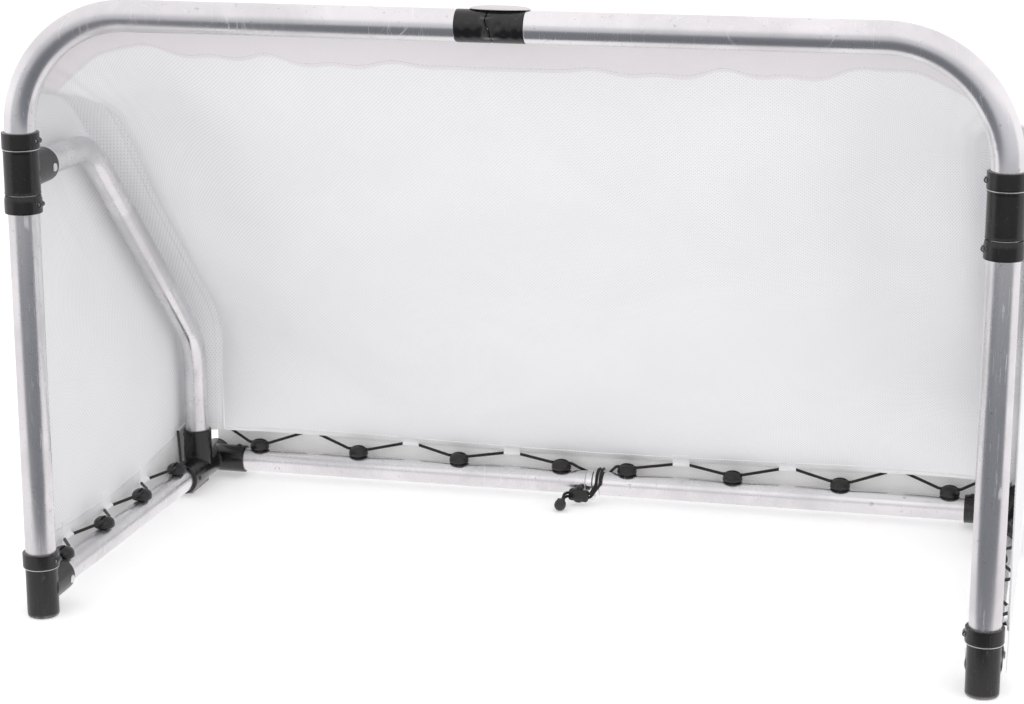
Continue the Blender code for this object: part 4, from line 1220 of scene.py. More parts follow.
def set_out(name: str, piece: Mesh, places: Sequence[tuple[Vector, Vector, Vector]], finish: Finish,
        body: str, slot: str, nodes: Sequence[str] = ()) -> Object:
    """Repeats a small shape at several places, as one piece.

    Args:
        name: the piece's name.
        piece: the shape, standing on its origin with +Z up and +X along.
        places: for each copy its place, its own up and its own along direction.
        finish: the finish of all copies.
        body: the body that they ride on.
        slot: the record's material slot, passed on with the piece.
        nodes: the solids that they stand for.

    Returns:
        The new object.
    """
    points = bpy.data.meshes.new("places")
    points.from_pydata([tuple(at) for at, _, _ in places], [], [])
    for label, index in (("facing", 1), ("along", 2)):
        attribute = points.attributes.new(label, "FLOAT_VECTOR", "POINT")
        attribute.data.foreach_set("vector", np.array([place[index] for place in places], np.float32).ravel())
    model = linked("model", piece)
    mesh = NodeMaker.run(NodeMaker.set_out(), points,
        {"Piece": model, "Size": 1.0, "Material": finish.material()})
    bpy.data.objects.remove(model, do_unlink=True)
    for label in ("facing", "along"):
        if label in mesh.attributes:
            mesh.attributes.remove(mesh.attributes[label])
    return place_piece(name, mesh, finish, body, slot, nodes)


def stitches(name: str, lines: Sequence[Sequence[Vector]], spacing: float, length: float, body: str,
        slot: str) -> Object:
    """Sews stitches along lines, as one piece.

    Args:
        name: the piece's name.
        lines: each line's points.
        spacing: distance between stitches in metres.
        length: length of a stitch in metres.
        body: the body that they ride on.
        slot: the record's material slot, passed on with the piece.

    Returns:
        The new object.
    """
    verts: list[tuple[float, float, float]] = []
    edges: list[tuple[int, int]] = []
    for line in lines:
        start = len(verts)
        verts += [tuple(p) for p in line]
        edges += [(start + i, start + i + 1) for i in range(len(line) - 1)]
    source = bpy.data.meshes.new("seam_lines")
    source.from_pydata(verts, edges, [])
    mesh = NodeMaker.run(NodeMaker.stitch_line(), source,
        {"Spacing": spacing, "Length": length, "Thread": THREAD_R, "Material": THREAD.material()})
    mesh.shade_smooth()
    return place_piece(name, mesh, THREAD, body, slot)


# Sub-assemblies


@dataclass
class Frame:
    """Sizes that the frame's sub-assemblies share, in metres."""

    half_span: float = 0.58
    crossbar_z: float = 0.754
    leg_y: float = 0.564
    bar_y: float = 0.62
    bar_z: float = 0.025
    foot_stub_z: float = 0.036
    side_tube_z: float = 0.5625
    side_bend_y: float = 0.2005
    leg_bend_z: float = 0.2166
    main_r: float = 0.019
    side_r: float = 0.017
    wall: float = 0.0018
    crossbar_bend_r: float = 0.14
    side_bend_r: float = 0.1
    fit: float = 0.0003
    run: float = 0.0005
    ring_gap: float = 0.001
    hinge_length: float = 0.04
    pin_offset: float = 0.0195
    pin_half: float = 0.009
    collar_stub: float = 0.062
    foot_stub: float = 0.0535
    stub_floor: float = 0.0235
    corner_front: float = 0.4985
    collar_z: float = 0.564
    collar_half: float = 0.027
    foot_top: float = 0.0642
    spigot_r: float = 0.016
    side_hook_y: tuple[float, ...] = (0.069, 0.20467, 0.34033, 0.476)
    rear_hook_x: tuple[float, ...] = (0.048, 0.2, 0.352, 0.504)

    def lower_line(self, side: Side) -> tuple[Vector, Vector]:
        """Two points of the lower side tube's axis."""
        x = side.value * self.half_span
        return spot(x, self.foot_stub, self.foot_stub_z), spot(x, self.corner_front, self.bar_z)

    def lower_axis(self, side: Side, y: float) -> Vector:
        """Point of the lower side tube's axis at a distance behind the uprights.

        Args:
            side: left or right.
            y: distance behind the uprights.

        Returns:
            The point.
        """
        start, end = self.lower_line(side)
        share = (y - self.foot_stub) / (self.corner_front - self.foot_stub)
        return start.lerp(end, share)


@dataclass
class OneSide:
    """A sub-assembly on one side of the goal, with the frame's sizes."""

    side: Side
    frame: Frame

    def add(self, node: str, ending: str, mesh: Mesh, finish: Finish) -> None:
        """Places a piece that stands for one solid, on this sub-assembly's body."""
        for_node(node, ending, mesh, finish, self.body)

    @property
    def word(self) -> str:
        """The side's name in node and body names."""
        return self.side.word

    @property
    def body(self) -> str:
        """The body that the sub-assembly rides on."""
        raise NotImplementedError

    @property
    def x(self) -> float:
        """The side's plane, through its upright and its leg."""
        return self.side.value * self.frame.half_span


@dataclass
class FrontHalf(OneSide):
    """An upright bent over into half of the crossbar, with its stop rings and its half of the hinge."""

    ring_r: float = 0.0228
    washer_r: float = 0.0222
    upper_ring: float = 0.02
    lower_ring: float = 0.022
    foot_ring: float = 0.0185
    boss_reach: float = 0.0222
    boss_r: float = 0.0034
    boss_half: float = 0.00625
    hinge_r: float = 0.019
    seam_lean: float = 0.0012
    seam_jog: float = 0.002
    swelling: float = 0.0032
    dent: float = 0.0013
    plug: float = 0.055

    @property
    def body(self) -> str:
        """The body that this half rides on."""
        return "front_" + self.word

    def build(self) -> None:
        """Builds every piece of this half."""
        self.tube()
        self.rings()
        self.hinge()

    def tube(self) -> None:
        """Builds the bent tube."""
        f = self.frame
        end = self.side.value * (f.hinge_length + f.fit)
        corners = [spot(self.x, 0, f.foot_top + f.run), spot(self.x, 0, f.crossbar_z),
            spot(end, 0, f.crossbar_z)]
        route = rounded_route(corners, [f.crossbar_bend_r], 2.0)
        mesh = hollow_tube(route, f.main_r, f.wall, 96)
        self.add(f"front_{self.word}_tube", "skin", mesh, ALUMINIUM)

    def ring(self, label: str, low: float, height: float, taper: float) -> tuple[Vector, Vector, Vector]:
        """Builds one clamped stop ring with its screw boss.

        Args:
            label: the ring's part of the node name.
            low: height of its lower face.
            height: its height.
            taper: height of the sloping band under its upper edge, or 0.

        Returns:
            The place, facing and along direction of its clamp screw's head.
        """
        f = self.frame
        inner = f.main_r + f.fit
        waist = self.ring_r - 0.0011
        outline = [(0.0, 0.0), (self.ring_r, 0.0), (self.ring_r, height - taper)]
        outline += [(waist, height - taper * 0.15), (waist, height)] if taper else [(self.ring_r, height)]
        shell = turned(soften(outline + [(0.0, height)], 0.0009), spot(self.x, 0, low), Z_AXIS, 96)
        middle = spot(self.x - self.side.value * self.boss_reach, 0, low + height / 2)
        boss = turned(rod(self.boss_r, -self.boss_half, self.boss_half, 0.0008), middle, Y_AXIS, 32)
        bore = turned(rod(inner, -0.01, height + 0.01, 0.0), spot(self.x, 0, low), Z_AXIS, 96)
        self.add(f"{self.word}_{label}", "moulding", fused([shell, boss], 0.0006, 3, [bore]), BLACK_FITTING)
        return middle - Y_AXIS * self.boss_half, -Y_AXIS, X_AXIS

    def rings(self) -> None:
        """Builds the three stop rings and their screws."""
        f = self.frame
        above = f.collar_z + f.collar_half + f.ring_gap
        below = f.collar_z - f.collar_half - f.ring_gap - self.lower_ring
        screws = [self.ring("upper_ring", above, self.upper_ring, 0.0),
            self.ring("lower_ring", below, self.lower_ring, 0.0055),
            self.ring("foot_ring", f.foot_top + f.ring_gap, self.foot_ring, 0.0)]
        self.washers()
        head = turned(soften([(0.0, 0.0002), (0.0009, 0.0002), (0.0012, 0.0007), (0.0019, 0.0006),
            (0.0021, -0.0008), (0.0, -0.0008)], 0.0002), sides=20)
        set_out(f"{self.word}_ring_screws", head, screws, PIN_STEEL, self.body, f"{self.word}_upper_ring")

    def washers(self) -> None:
        """Builds thin pale washers in the gaps above the collar and the foot, put there as a painted
        highlight for the bright line in each gap.
        """
        f = self.frame
        # The pale ring in each gap is a painted highlight line.
        flat = pipe(self.washer_r, f.main_r + f.fit, 0.0001, f.ring_gap - 0.0001, 0.0002)
        heights = (f.collar_z + f.collar_half, f.foot_top)
        meshes = [turned(flat, spot(self.x, 0, z), Z_AXIS, 72, closed=True) for z in heights]
        name = self.word + "_washers"
        place_piece(name, joined(meshes), RIVET_METAL, self.body, f"{self.word}_upper_ring")

    def hinge(self) -> None:
        """Builds this half's sleeve of the crossbar's middle joint."""
        f = self.frame
        s = self.side.value
        out = X_AXIS * s
        plug_r = f.main_r - f.wall - f.fit
        length = f.hinge_length
        sleeve = turned(soften([(0.0, length), (self.hinge_r, length), (self.hinge_r, f.run / 2),
            (0.0, f.run / 2)], 0.0009), spot(0, 0, f.crossbar_z), out, 96)
        plug = turned(rod(plug_r, length - 0.002, length + self.plug), spot(0, 0, f.crossbar_z), out, 48)
        name = "crossbar_hinge_" + self.word
        mesh = fused([sleeve, plug], 0.0006, 2)
        self.warp(mesh)
        self.add(name, "moulding", mesh, BLACK_FITTING)

    def warp(self, mesh: Mesh) -> None:
        """Bends the seam between the sleeves into an S round the pin's swelling, with a dent beside it.

        Args:
            mesh: mesh of one sleeve.
        """
        f = self.frame
        count = len(mesh.vertices)
        points = np.empty(count * 3)
        mesh.vertices.foreach_get("co", points)
        points = points.reshape(-1, 3)
        high = (points[:, 2] - f.crossbar_z) / self.hinge_r
        near = np.exp(-(points[:, 0] / 0.012) ** 2)
        front = np.clip((ORIGIN_Y - 0.002 - points[:, 1]) / 0.008, 0.0, 1.0)
        up = np.abs(points[:, 2] - f.crossbar_z)
        swell_half, swell_fade, swell_width = 0.0135, 0.0035, 0.0066
        swell = np.clip((swell_half - up) / swell_fade, 0.0, 1.0)
        retreat = self.hinge_r - np.sqrt(np.maximum(self.hinge_r ** 2 - up ** 2, 0.0))
        points[:, 1] -= (self.swelling + retreat) * np.exp(-(points[:, 0] / swell_width) ** 2) * swell * front
        points[:, 0] -= (self.seam_lean * np.sin(high * 1.9)
            + self.seam_jog * np.tanh(high * 4.0) * front) * near
        dent_x, dent_z, dent_width, dent_height = 0.0125, f.crossbar_z + 0.003, 0.0042, 0.005
        fade = np.exp(-((points[:, 0] - dent_x) / dent_width) ** 2
            - ((points[:, 2] - dent_z) / dent_height) ** 2)
        points[:, 1] += self.dent * fade * front
        ripple_depth = 0.00022
        ripple = np.sin(points[:, 0] * 460.0) * np.sin(points[:, 2] * 380.0) * ripple_depth
        points[:, 1] += ripple * (np.abs(points[:, 0]) > 0.004) * (np.abs(points[:, 0]) < 0.037) * front
        mesh.vertices.foreach_set("co", points.ravel())
        mesh.update()


@dataclass
class SideFrame(OneSide):
    """A side frame: collar, foot, rear corner, the two side tubes, their hooks and rivets."""

    collar_r: float = 0.0217
    stub_r: float = 0.0217
    foot_r: float = 0.02
    foot_edge: float = 0.0034
    spigot: float = 0.06
    corner_r: float = 0.0212
    post_r: float = 0.0204
    post_top: float = 0.084
    socket_floor: float = 0.035
    lower_socket_end: float = 0.54
    body_end: float = 0.5973
    spigot_end: float = 0.6424
    pad_width: float = 0.018
    pad_length: float = 0.07
    cap: float = 0.006
    rivet_y: float = 0.0485
    foot_rivet_y: float = 0.044
    boss_behind: float = 0.002
    boss_proud: float = 0.0035

    @property
    def body(self) -> str:
        """The body that this side frame rides on."""
        return self.word + "_side"

    def build(self) -> None:
        """Builds every piece of the side frame."""
        self.tubes()
        self.collar()
        self.foot()
        self.corner()
        self.rivets()
        self.hooks()

    def tubes(self) -> None:
        """Builds the upper and the lower side tube."""
        f = self.frame
        corners = [spot(self.x, y, z) for y, z in (
            (f.stub_floor + f.fit, f.side_tube_z), (f.side_bend_y, f.side_tube_z), (f.leg_y, f.leg_bend_z),
            (f.leg_y, self.socket_floor + f.fit))]
        route = rounded_route(corners, [f.side_bend_r, f.side_bend_r], 2.0)
        self.add(self.word + "_side_tube", "skin", hollow_tube(route, f.side_r, f.wall, 80), ALUMINIUM)
        start, end = f.lower_line(self.side)
        line = (end - start).normalized()
        route = [start - line * (f.foot_stub - f.stub_floor - 2 * f.fit), start.lerp(end, 0.5),
            end + line * (self.lower_socket_end - f.corner_front - f.fit)]
        self.add(self.word + "_lower_tube", "skin", hollow_tube(route, f.side_r, f.wall, 80), ALUMINIUM)

    def socket(self, at: Vector, direction: Vector, length: float) -> Mesh:
        """The blind hole that a side tube sits in."""
        f = self.frame
        return turned(rod(f.side_r + f.fit, 0.0, length, 0.0), at, direction, 80)

    def collar(self) -> None:
        """Builds the upper collar."""
        f = self.frame
        sleeve = turned(rod(self.collar_r, -f.collar_half, f.collar_half, 0.0007),
            spot(self.x, 0, f.collar_z), Z_AXIS, 96)
        stub = turned(rod(self.stub_r, 0.0, f.collar_stub, 0.0012), spot(self.x, 0, f.side_tube_z),
            Y_AXIS, 80)
        rim = [turned(pipe(self.collar_r + 0.0004, self.collar_r - 0.002, z, z + 0.0022, 0.0007),
            spot(self.x, 0, f.collar_z), Z_AXIS, 96, closed=True)
            for z in (-f.collar_half, f.collar_half - 0.0022)]
        bore = turned(rod(f.main_r + f.run, -0.04, 0.04, 0.0), spot(self.x, 0, f.collar_z), Z_AXIS, 96)
        hole = self.socket(spot(self.x, f.stub_floor, f.side_tube_z), Y_AXIS, 0.06)
        self.add(self.word + "_collar", "moulding", fused([sleeve, stub, *rim], 0.0007, 4, [bore, hole]),
            BLACK_FITTING)

    def foot(self) -> None:
        """Builds the foot with its stub and spigot."""
        f = self.frame
        spigot_r = f.main_r - f.wall - f.run
        edge = self.foot_edge
        bottom = [(self.foot_r - edge * (1 - math.cos(t)), edge * (1 - math.sin(t)))
            for t in np.linspace(0, math.pi / 2, 6)]
        profile = soften([(0.0, f.foot_top + self.spigot), (spigot_r, f.foot_top + self.spigot),
            (spigot_r, f.foot_top), (self.foot_r, f.foot_top)], 0.0007)
        post = turned(profile[:-1] + [(self.foot_r, f.foot_top)] + bottom + [(0.0, 0.0)],
            spot(self.x, 0, 0), Z_AXIS, 96)
        start, end = f.lower_line(self.side)
        line = (end - start).normalized()
        stub = turned(rod(self.stub_r, 0.0, f.foot_stub, 0.0012), spot(self.x, 0, f.foot_stub_z), Y_AXIS, 80)
        hole = self.socket(start - line * (f.foot_stub - f.stub_floor), line, 0.06)
        self.add(self.word + "_foot", "moulding", fused([post, stub], 0.0007, 4, [hole]), BLACK_FOOT)

    def boss_at(self) -> Vector:
        """Where the screw's boss stands on the rear corner."""
        f = self.frame
        return spot(self.x, f.leg_y + self.post_r + self.boss_behind, f.bar_z + self.corner_r)

    def corner(self) -> None:
        """Builds the rear corner and its spigot's cap."""
        f = self.frame
        at = spot(self.x, 0, f.bar_z)
        front = f.corner_front
        profile = soften([(0.0, self.spigot_end), (f.spigot_r, self.spigot_end), (f.spigot_r, self.body_end),
            (self.corner_r, self.body_end), (self.corner_r, front), (0.0, front)], 0.0008)
        run = turned(profile, at, Y_AXIS, 96)
        post = turned(rod(self.post_r, 0.0, self.post_top - f.bar_z, 0.001),
            spot(self.x, f.leg_y, f.bar_z), Z_AXIS, 80)
        pad = box_mesh(spot(self.x, (front + self.body_end) / 2, f.bar_z * 0.42),
            (self.pad_width, self.pad_length, f.bar_z * 0.84), 0.0012)
        boss = turned(rod(0.0052, -0.01, self.boss_proud, 0.001), self.boss_at(), Z_AXIS, 32)
        start, end = f.lower_line(self.side)
        line = (end - start).normalized()
        lower_hole = self.socket(end + line * (self.lower_socket_end - front), -line, 0.08)
        leg_hole = self.socket(spot(self.x, f.leg_y, self.socket_floor), Z_AXIS, 0.08)
        self.add(self.word + "_corner", "moulding",
            fused([run, post, pad, boss], 0.0007, 4, [lower_hole, leg_hole]), BLACK_FOOT)
        cap_at = spot(self.x, self.spigot_end + 0.0003, f.bar_z)
        profile = soften([(0.0, self.cap), (self.corner_r * 0.55, self.cap),
            (self.corner_r * 0.62, self.cap - 0.0012),
            (self.corner_r - 0.002, self.cap - 0.0012), (self.corner_r, self.cap - 0.003),
            (self.corner_r, 0.0), (0.0, 0.0)], 0.0005)
        self.add(self.word + "_spigot_cap", "moulding", turned(profile, cap_at, Y_AXIS, 96), BLACK_FITTING)

    def rivets(self) -> None:
        """Builds the blind rivets that hold the tubes in the collar's and the foot's stubs."""
        f = self.frame
        inward = X_AXIS * -self.side.value
        head = turned(soften([(0.0, 0.0008), (0.0017, 0.0008), (0.002, 0.0016), (0.003, 0.0017),
            (0.0048, 0.001), (0.0052, -0.0008), (0.0, -0.0008)], 0.0003), sides=28)
        places = []
        for way in (1.0, -1.0):
            out = inward * way
            for y, z in ((self.rivet_y, f.side_tube_z - 0.001), (self.foot_rivet_y, f.foot_stub_z - 0.002)):
                places.append((spot(self.x, y, z) + out * self.stub_r, out, Y_AXIS))
        set_out(self.word + "_side_rivets", head, places, RIVET_METAL, self.body, self.word + "_side_tube")
        dark = turned(soften([(0.0, 0.0007), (0.0011, 0.0007), (0.0014, 0.0013), (0.0027, 0.0012),
            (0.0034, -0.0008), (0.0, -0.0008)], 0.0003), sides=24)
        places = [(spot(self.x, 0.513, f.bar_z) + inward * self.corner_r, inward, Y_AXIS),
            (spot(self.x, f.leg_y, 0.074) - inward * self.post_r, -inward, Z_AXIS),
            (self.boss_at() + Z_AXIS * self.boss_proud, Z_AXIS, X_AXIS)]
        set_out(self.word + "_corner_screws", dark, places, BLACK_HOOK, self.body, self.word + "_corner")

    def hooks(self) -> None:
        """Builds the four lacing hooks on the lower side tube."""
        f = self.frame
        start, end = f.lower_line(self.side)
        line = (end - start).normalized() * -self.side.value
        places = [(f.lower_axis(self.side, y) + Z_AXIS * f.side_r, Z_AXIS, line) for y in f.side_hook_y]
        Hook().row(self.word + "_side", places, f.side_r, self.body)


@dataclass
class Hook:
    """A domed lacing hook on a stem, with an open slot for the cord."""

    radius: float = 0.014
    height: float = 0.0152
    shoulder: float = 0.0044
    base: float = 0.0008
    stem_r: float = 0.006
    slot_floor: float = 0.008
    slot_shift: float = 0.001
    slot_width: float = 0.0048

    def mesh(self, tube_r: float) -> Mesh:
        """Builds one hook, standing on a tube of that radius that runs along X, its slot along X too.

        Args:
            tube_r: radius of the tube.

        Returns:
            The mesh.
        """
        rise = self.height - self.shoulder
        dome = [(self.radius * math.sin(t) ** 0.96, self.shoulder + rise * math.cos(t) ** 0.88)
            for t in np.linspace(0, math.pi / 2, 10)]
        side = [(self.radius, self.base + 0.0016), (self.radius - 0.0005, self.base + 0.0004),
            (self.radius - 0.0016, self.base)]
        stem = [(self.stem_r + 0.0008, self.base), (self.stem_r, self.base - 0.0006), (self.stem_r, -0.0008),
            (0.0, -0.0008)]
        mesh = turned(dome + side + stem, sides=40)
        helper = linked("hook_whole", mesh)
        depth = self.height
        slot = box_mesh(Vector((0.0, -self.slot_shift, self.slot_floor + depth / 2)),
            (4 * self.radius, self.slot_width, depth), 0.0009, 2)
        tools = carve(helper, [slot])
        rim = helper.modifiers.new("broken_edges", "BEVEL")
        rim.width = 0.0005
        rim.segments = 2
        rim.limit_method = "ANGLE"
        rim.angle_limit = math.radians(50.0)
        result = evaluated_mesh(helper)
        for tool in tools:
            bpy.data.objects.remove(tool, do_unlink=True)
        for vert in result.vertices:
            if vert.co.z < 0.0:
                vert.co.z = -(tube_r - math.sqrt(max(tube_r ** 2 - vert.co.y ** 2, 0.0))) + 0.0002
        return finish_mesh(result, 45.0)

    def row(self, prefix: str, places: Sequence[tuple[Vector, Vector, Vector]], tube_r: float,
            body: str) -> None:
        """Places a row of hooks on a tube, for the solids called PREFIX_hook_1 and on."""
        nodes = [f"{prefix}_hook_{i + 1}" for i in range(len(places))]
        set_out(prefix + "_hooks", self.mesh(tube_r), places, BLACK_HOOK, body, nodes[0], nodes)


@dataclass
class RearHalf(OneSide):
    """Half of the rear bar with its turning collar, its half of the middle joint and its hooks."""

    collar_r: float = 0.0212
    collar_half: float = 0.0222
    stub_r: float = 0.0198
    stub_length: float = 0.055
    stub_floor: float = 0.0225
    rim_r: float = 0.018
    rim: float = 0.01
    knuckle_r: float = 0.0043
    knuckle_half: float = 0.012
    knob_shift: float = 0.044
    knob_r: float = 0.0046
    knob_proud: float = 0.001
    plug: float = 0.055

    @property
    def body(self) -> str:
        """The body that this half rides on."""
        return "rear_" + self.word

    def build(self) -> None:
        """Builds every piece of this half."""
        self.tube()
        self.collar()
        self.hinge()
        self.hooks()

    def tube(self) -> None:
        """Builds the half bar's tube."""
        f = self.frame
        s = self.side.value
        outer = s * (f.half_span - self.stub_floor - f.fit)
        inner = s * (self.rim + f.fit)
        route = [spot(outer, f.bar_y, f.bar_z), spot((outer + inner) / 2, f.bar_y, f.bar_z),
            spot(inner, f.bar_y, f.bar_z)]
        self.add(f"rear_{self.word}_tube", "skin", hollow_tube(route, f.side_r, f.wall, 80), ALUMINIUM)

    def collar(self) -> None:
        """Builds the collar that turns on the corner's spigot, with its screw on top."""
        f = self.frame
        s = self.side.value
        at = spot(s * f.half_span, f.bar_y, f.bar_z)
        sleeve = turned(rod(self.collar_r, -self.collar_half, self.collar_half, 0.001), at, Y_AXIS, 96)
        stub = turned(rod(self.stub_r, 0.0, self.stub_length, 0.001), at, X_AXIS * -s, 80)
        knob_at = at - X_AXIS * s * self.knob_shift + Z_AXIS * self.stub_r
        knob = turned(rod(self.knob_r, -0.004, self.knob_proud, 0.0006), knob_at, Z_AXIS, 32)
        bore = turned(rod(f.spigot_r + f.run, -0.04, 0.04, 0.0), at, Y_AXIS, 96)
        hole = turned(rod(f.side_r + f.fit, self.stub_floor, 0.08, 0.0), at, X_AXIS * -s, 80)
        self.add(f"rear_{self.word}_collar", "moulding", fused([sleeve, stub, knob], 0.0007, 4, [bore, hole]),
            BLACK_FITTING)
        dark = turned(soften([(0.0, 0.0004), (0.001, 0.0004), (0.0013, 0.0012), (0.0026, 0.0011),
            (0.0032, -0.0006), (0.0, -0.0006)], 0.0003), sides=24)
        places = [(knob_at + Z_AXIS * self.knob_proud, Z_AXIS, X_AXIS)]
        set_out(f"rear_{self.word}_screw", dark, places, BLACK_HOOK, self.body, f"rear_{self.word}_collar")

    def hinge(self) -> None:
        """Builds the plug and rim that close the tube at the middle joint, with its knuckle."""
        f = self.frame
        s = self.side.value
        plug_r = f.side_r - f.wall - f.fit
        profile = soften([(0.0, self.rim + self.plug), (plug_r, self.rim + self.plug), (plug_r, self.rim),
            (self.rim_r, self.rim), (self.rim_r, f.run), (0.0, f.run)], 0.0008)
        rim = turned(profile, spot(0, f.bar_y, f.bar_z), X_AXIS * s, 80)
        low, high = (-self.knuckle_half, -f.run / 2) if s < 0 else (f.run / 2, self.knuckle_half)
        knuckle = turned(rod(self.knuckle_r, low, high, 0.0006),
            spot(0, f.bar_y, f.bar_z - f.pin_offset), Y_AXIS, 32)
        self.add("rear_hinge_" + self.word, "turning", fused([rim, knuckle], 0.0006, 2), CAST_RIM)

    def hooks(self) -> None:
        """Builds the four lacing hooks on the half bar."""
        f = self.frame
        top = f.bar_z + f.side_r
        places = [(spot(self.side.value * x, f.bar_y, top), Z_AXIS, X_AXIS) for x in f.rear_hook_x]
        Hook().row("rear_" + self.word, places, f.side_r, self.body)


@dataclass
class Lacing:
    """The elastic cord that laces the net's hem to the hooks, and the lock on its ends."""

    frame: Frame
    cord_r: float = 0.0021
    over_tube: float = 0.0104
    hook_reach: float = 0.01505
    tab_half: float = 0.012
    tab_off_hem: float = 0.0038
    hem_over_tab: float = 0.0035
    hem_behind: float = 0.0185
    net_outside: float = 0.0262
    rear_rise: float = 0.0135
    rear_end_rise: float = 0.02
    side_rise: float = 0.0052
    side_front: Point = (0.6024, 0.043, 0.0735)
    side_end: Point = (0.6024, 0.5436, 0.084)
    bend_r: float = 0.004
    bar_reach: float = 0.02139
    lock_at: Point = (-0.016, 0.5895, 0.015)
    lock_size: Point = (0.029, 0.013, 0.02)
    lock_tilt: float = 5.0
    strand_gap: float = 0.0052
    strand_over: float = 0.007
    strand_pitch: float = 0.0058
    strand_bend: Point = (-0.0055, -0.006, -0.001)
    clip_shift: Point = (-0.0205, -0.03, -0.0065)
    clip_size: Point = (0.0165, 0.021, 0.0165)
    button_r: float = 0.0042
    button_proud: float = 0.0035

    def build(self) -> None:
        """Builds the cords, the lock, its button and the clip."""
        for side in Side:
            self.cord(side.word + "_side_lacing", self.side_points(side), side.word + "_side")
        self.cord("rear_left_lacing", self.rear_points(Side.LEFT) + self.tail_points(), "rear_left")
        ends = [self.over_bar(0.0244, 35), self.over_bar(0.0186, 62)]
        self.cord("rear_right_lacing", self.rear_points(Side.RIGHT) + ends, "rear_right")
        self.lock()
        self.clip()

    def cord(self, node: str, points: list[Vector], body: str) -> None:
        """Builds one stretch of cord.

        Args:
            node: node that it replaces.
            points: corners of its route.
            body: body that it moves with.
        """
        route = rounded_route(points, [self.bend_r] * (len(points) - 2), 12.0)
        mesh = sweep(route, [self.cord_r] * len(route), 14)
        for_node(node, "braid", mesh, CORD_BRAID, body)

    def rear_tab(self, x: float) -> Vector:
        """Point of the cord in a hem loop above the rear bar.

        Args:
            x: place along the bar.

        Returns:
            The point.
        """
        f = self.frame
        rise = self.rear_rise + self.rear_end_rise * (x / f.half_span) ** 2
        return spot(x, f.bar_y + self.hem_behind - self.tab_off_hem, f.bar_z + f.side_r + rise)

    def side_tab(self, side: Side, y: float) -> Vector:
        """Point of the cord in a hem loop beside a lower side tube."""
        out = X_AXIS * side.value * (self.net_outside - self.tab_off_hem)
        return self.frame.lower_axis(side, y) + out + Z_AXIS * (self.frame.side_r + self.side_rise)

    def through_slot(self, tube_top: Vector, along: Vector, outward: Vector) -> list[Vector]:
        """Points of the cord on both sides of a hook, level with the slot that it lies in."""
        middle = tube_top + Z_AXIS * self.over_tube - outward * Hook.slot_shift
        return [middle - along * self.hook_reach, middle + along * self.hook_reach]

    def side_points(self, side: Side) -> list[Vector]:
        """Points of the lacing along a lower side tube.

        Args:
            side: left or right.

        Returns:
            The points, in order.
        """
        f = self.frame
        outward = X_AXIS * side.value
        first_x, *first_yz = self.side_front
        points = [spot(side.value * first_x, *first_yz)]
        for i, y in enumerate(f.side_hook_y):
            points += self.through_slot(f.lower_axis(side, y) + Z_AXIS * f.side_r, Y_AXIS, outward)
            if i + 1 < len(f.side_hook_y):
                middle = (y + f.side_hook_y[i + 1]) / 2
                points += [self.side_tab(side, middle - self.tab_half),
                    self.side_tab(side, middle + self.tab_half)]
        last_x, *last_yz = self.side_end
        return points + [spot(side.value * last_x, *last_yz)]

    def rear_points(self, side: Side) -> list[Vector]:
        """Points of the lacing along half of the rear bar, from the corner to the middle.

        Args:
            side: left or right.

        Returns:
            The points, in order.
        """
        f = self.frame
        s = side.value
        points = [self.rear_tab(s * (f.half_span - self.tab_half))]
        for i in reversed(range(len(f.rear_hook_x))):
            x = f.rear_hook_x[i]
            points += self.through_slot(spot(s * x, f.bar_y, f.bar_z + f.side_r), X_AXIS * -s, Y_AXIS)
            if i > 0:
                middle = (x + f.rear_hook_x[i - 1]) / 2
                points += [self.rear_tab(s * (middle + self.tab_half)),
                    self.rear_tab(s * (middle - self.tab_half))]
        return points

    def over_bar(self, x: float, degrees: float) -> Vector:
        """Point of a cord end laid round the rear bar's middle, at an angle back from the bar's top.

        Args:
            x: place along the bar.
            degrees: angle back from the bar's top.

        Returns:
            The point.
        """
        f = self.frame
        turn = math.radians(degrees)
        return spot(x, f.bar_y + self.bar_reach * math.sin(turn), f.bar_z + self.bar_reach * math.cos(turn))

    def strand_over_bar(self, x: float) -> list[Vector]:
        """Points of a cord end from behind the rear bar over its top and down its front."""
        return [self.over_bar(x, degrees) for degrees in (62, 27, -8, -43, -78)]

    def lock_strand(self, offset: float) -> list[Vector]:
        """Points of one cord end from the bar's side of the lock to the inside of the clip.

        Args:
            offset: height above the lock's middle.

        Returns:
            The points, in order.
        """
        lock = spot(*self.lock_at) + Z_AXIS * offset
        clip = lock + Vector(self.clip_shift)
        left_end = lock - X_AXIS * self.lock_size[0] / 2
        return [lock + X_AXIS * (self.lock_size[0] / 2 + self.cord_r), left_end - X_AXIS * self.cord_r,
            left_end + Vector(self.strand_bend), clip + Y_AXIS * (self.clip_size[1] / 2 + self.cord_r),
            clip - Y_AXIS * self.cord_r]

    def tail_points(self) -> list[Vector]:
        """Points of the cord's ends over the bar, through the lock, round in the clip and back.

        Returns:
            The points, in order.
        """
        half = self.strand_gap / 2
        turn = spot(*self.lock_at) + Vector(self.clip_shift) - Y_AXIS * 1.6 * self.cord_r
        second = self.strand_over_bar(self.strand_over + self.strand_pitch)
        return ([self.over_bar(-0.024, 35), self.over_bar(-0.012, 62)]
            + self.strand_over_bar(self.strand_over)
            + self.lock_strand(half) + [turn] + self.lock_strand(-half)[::-1] + second[::-1][:-1])

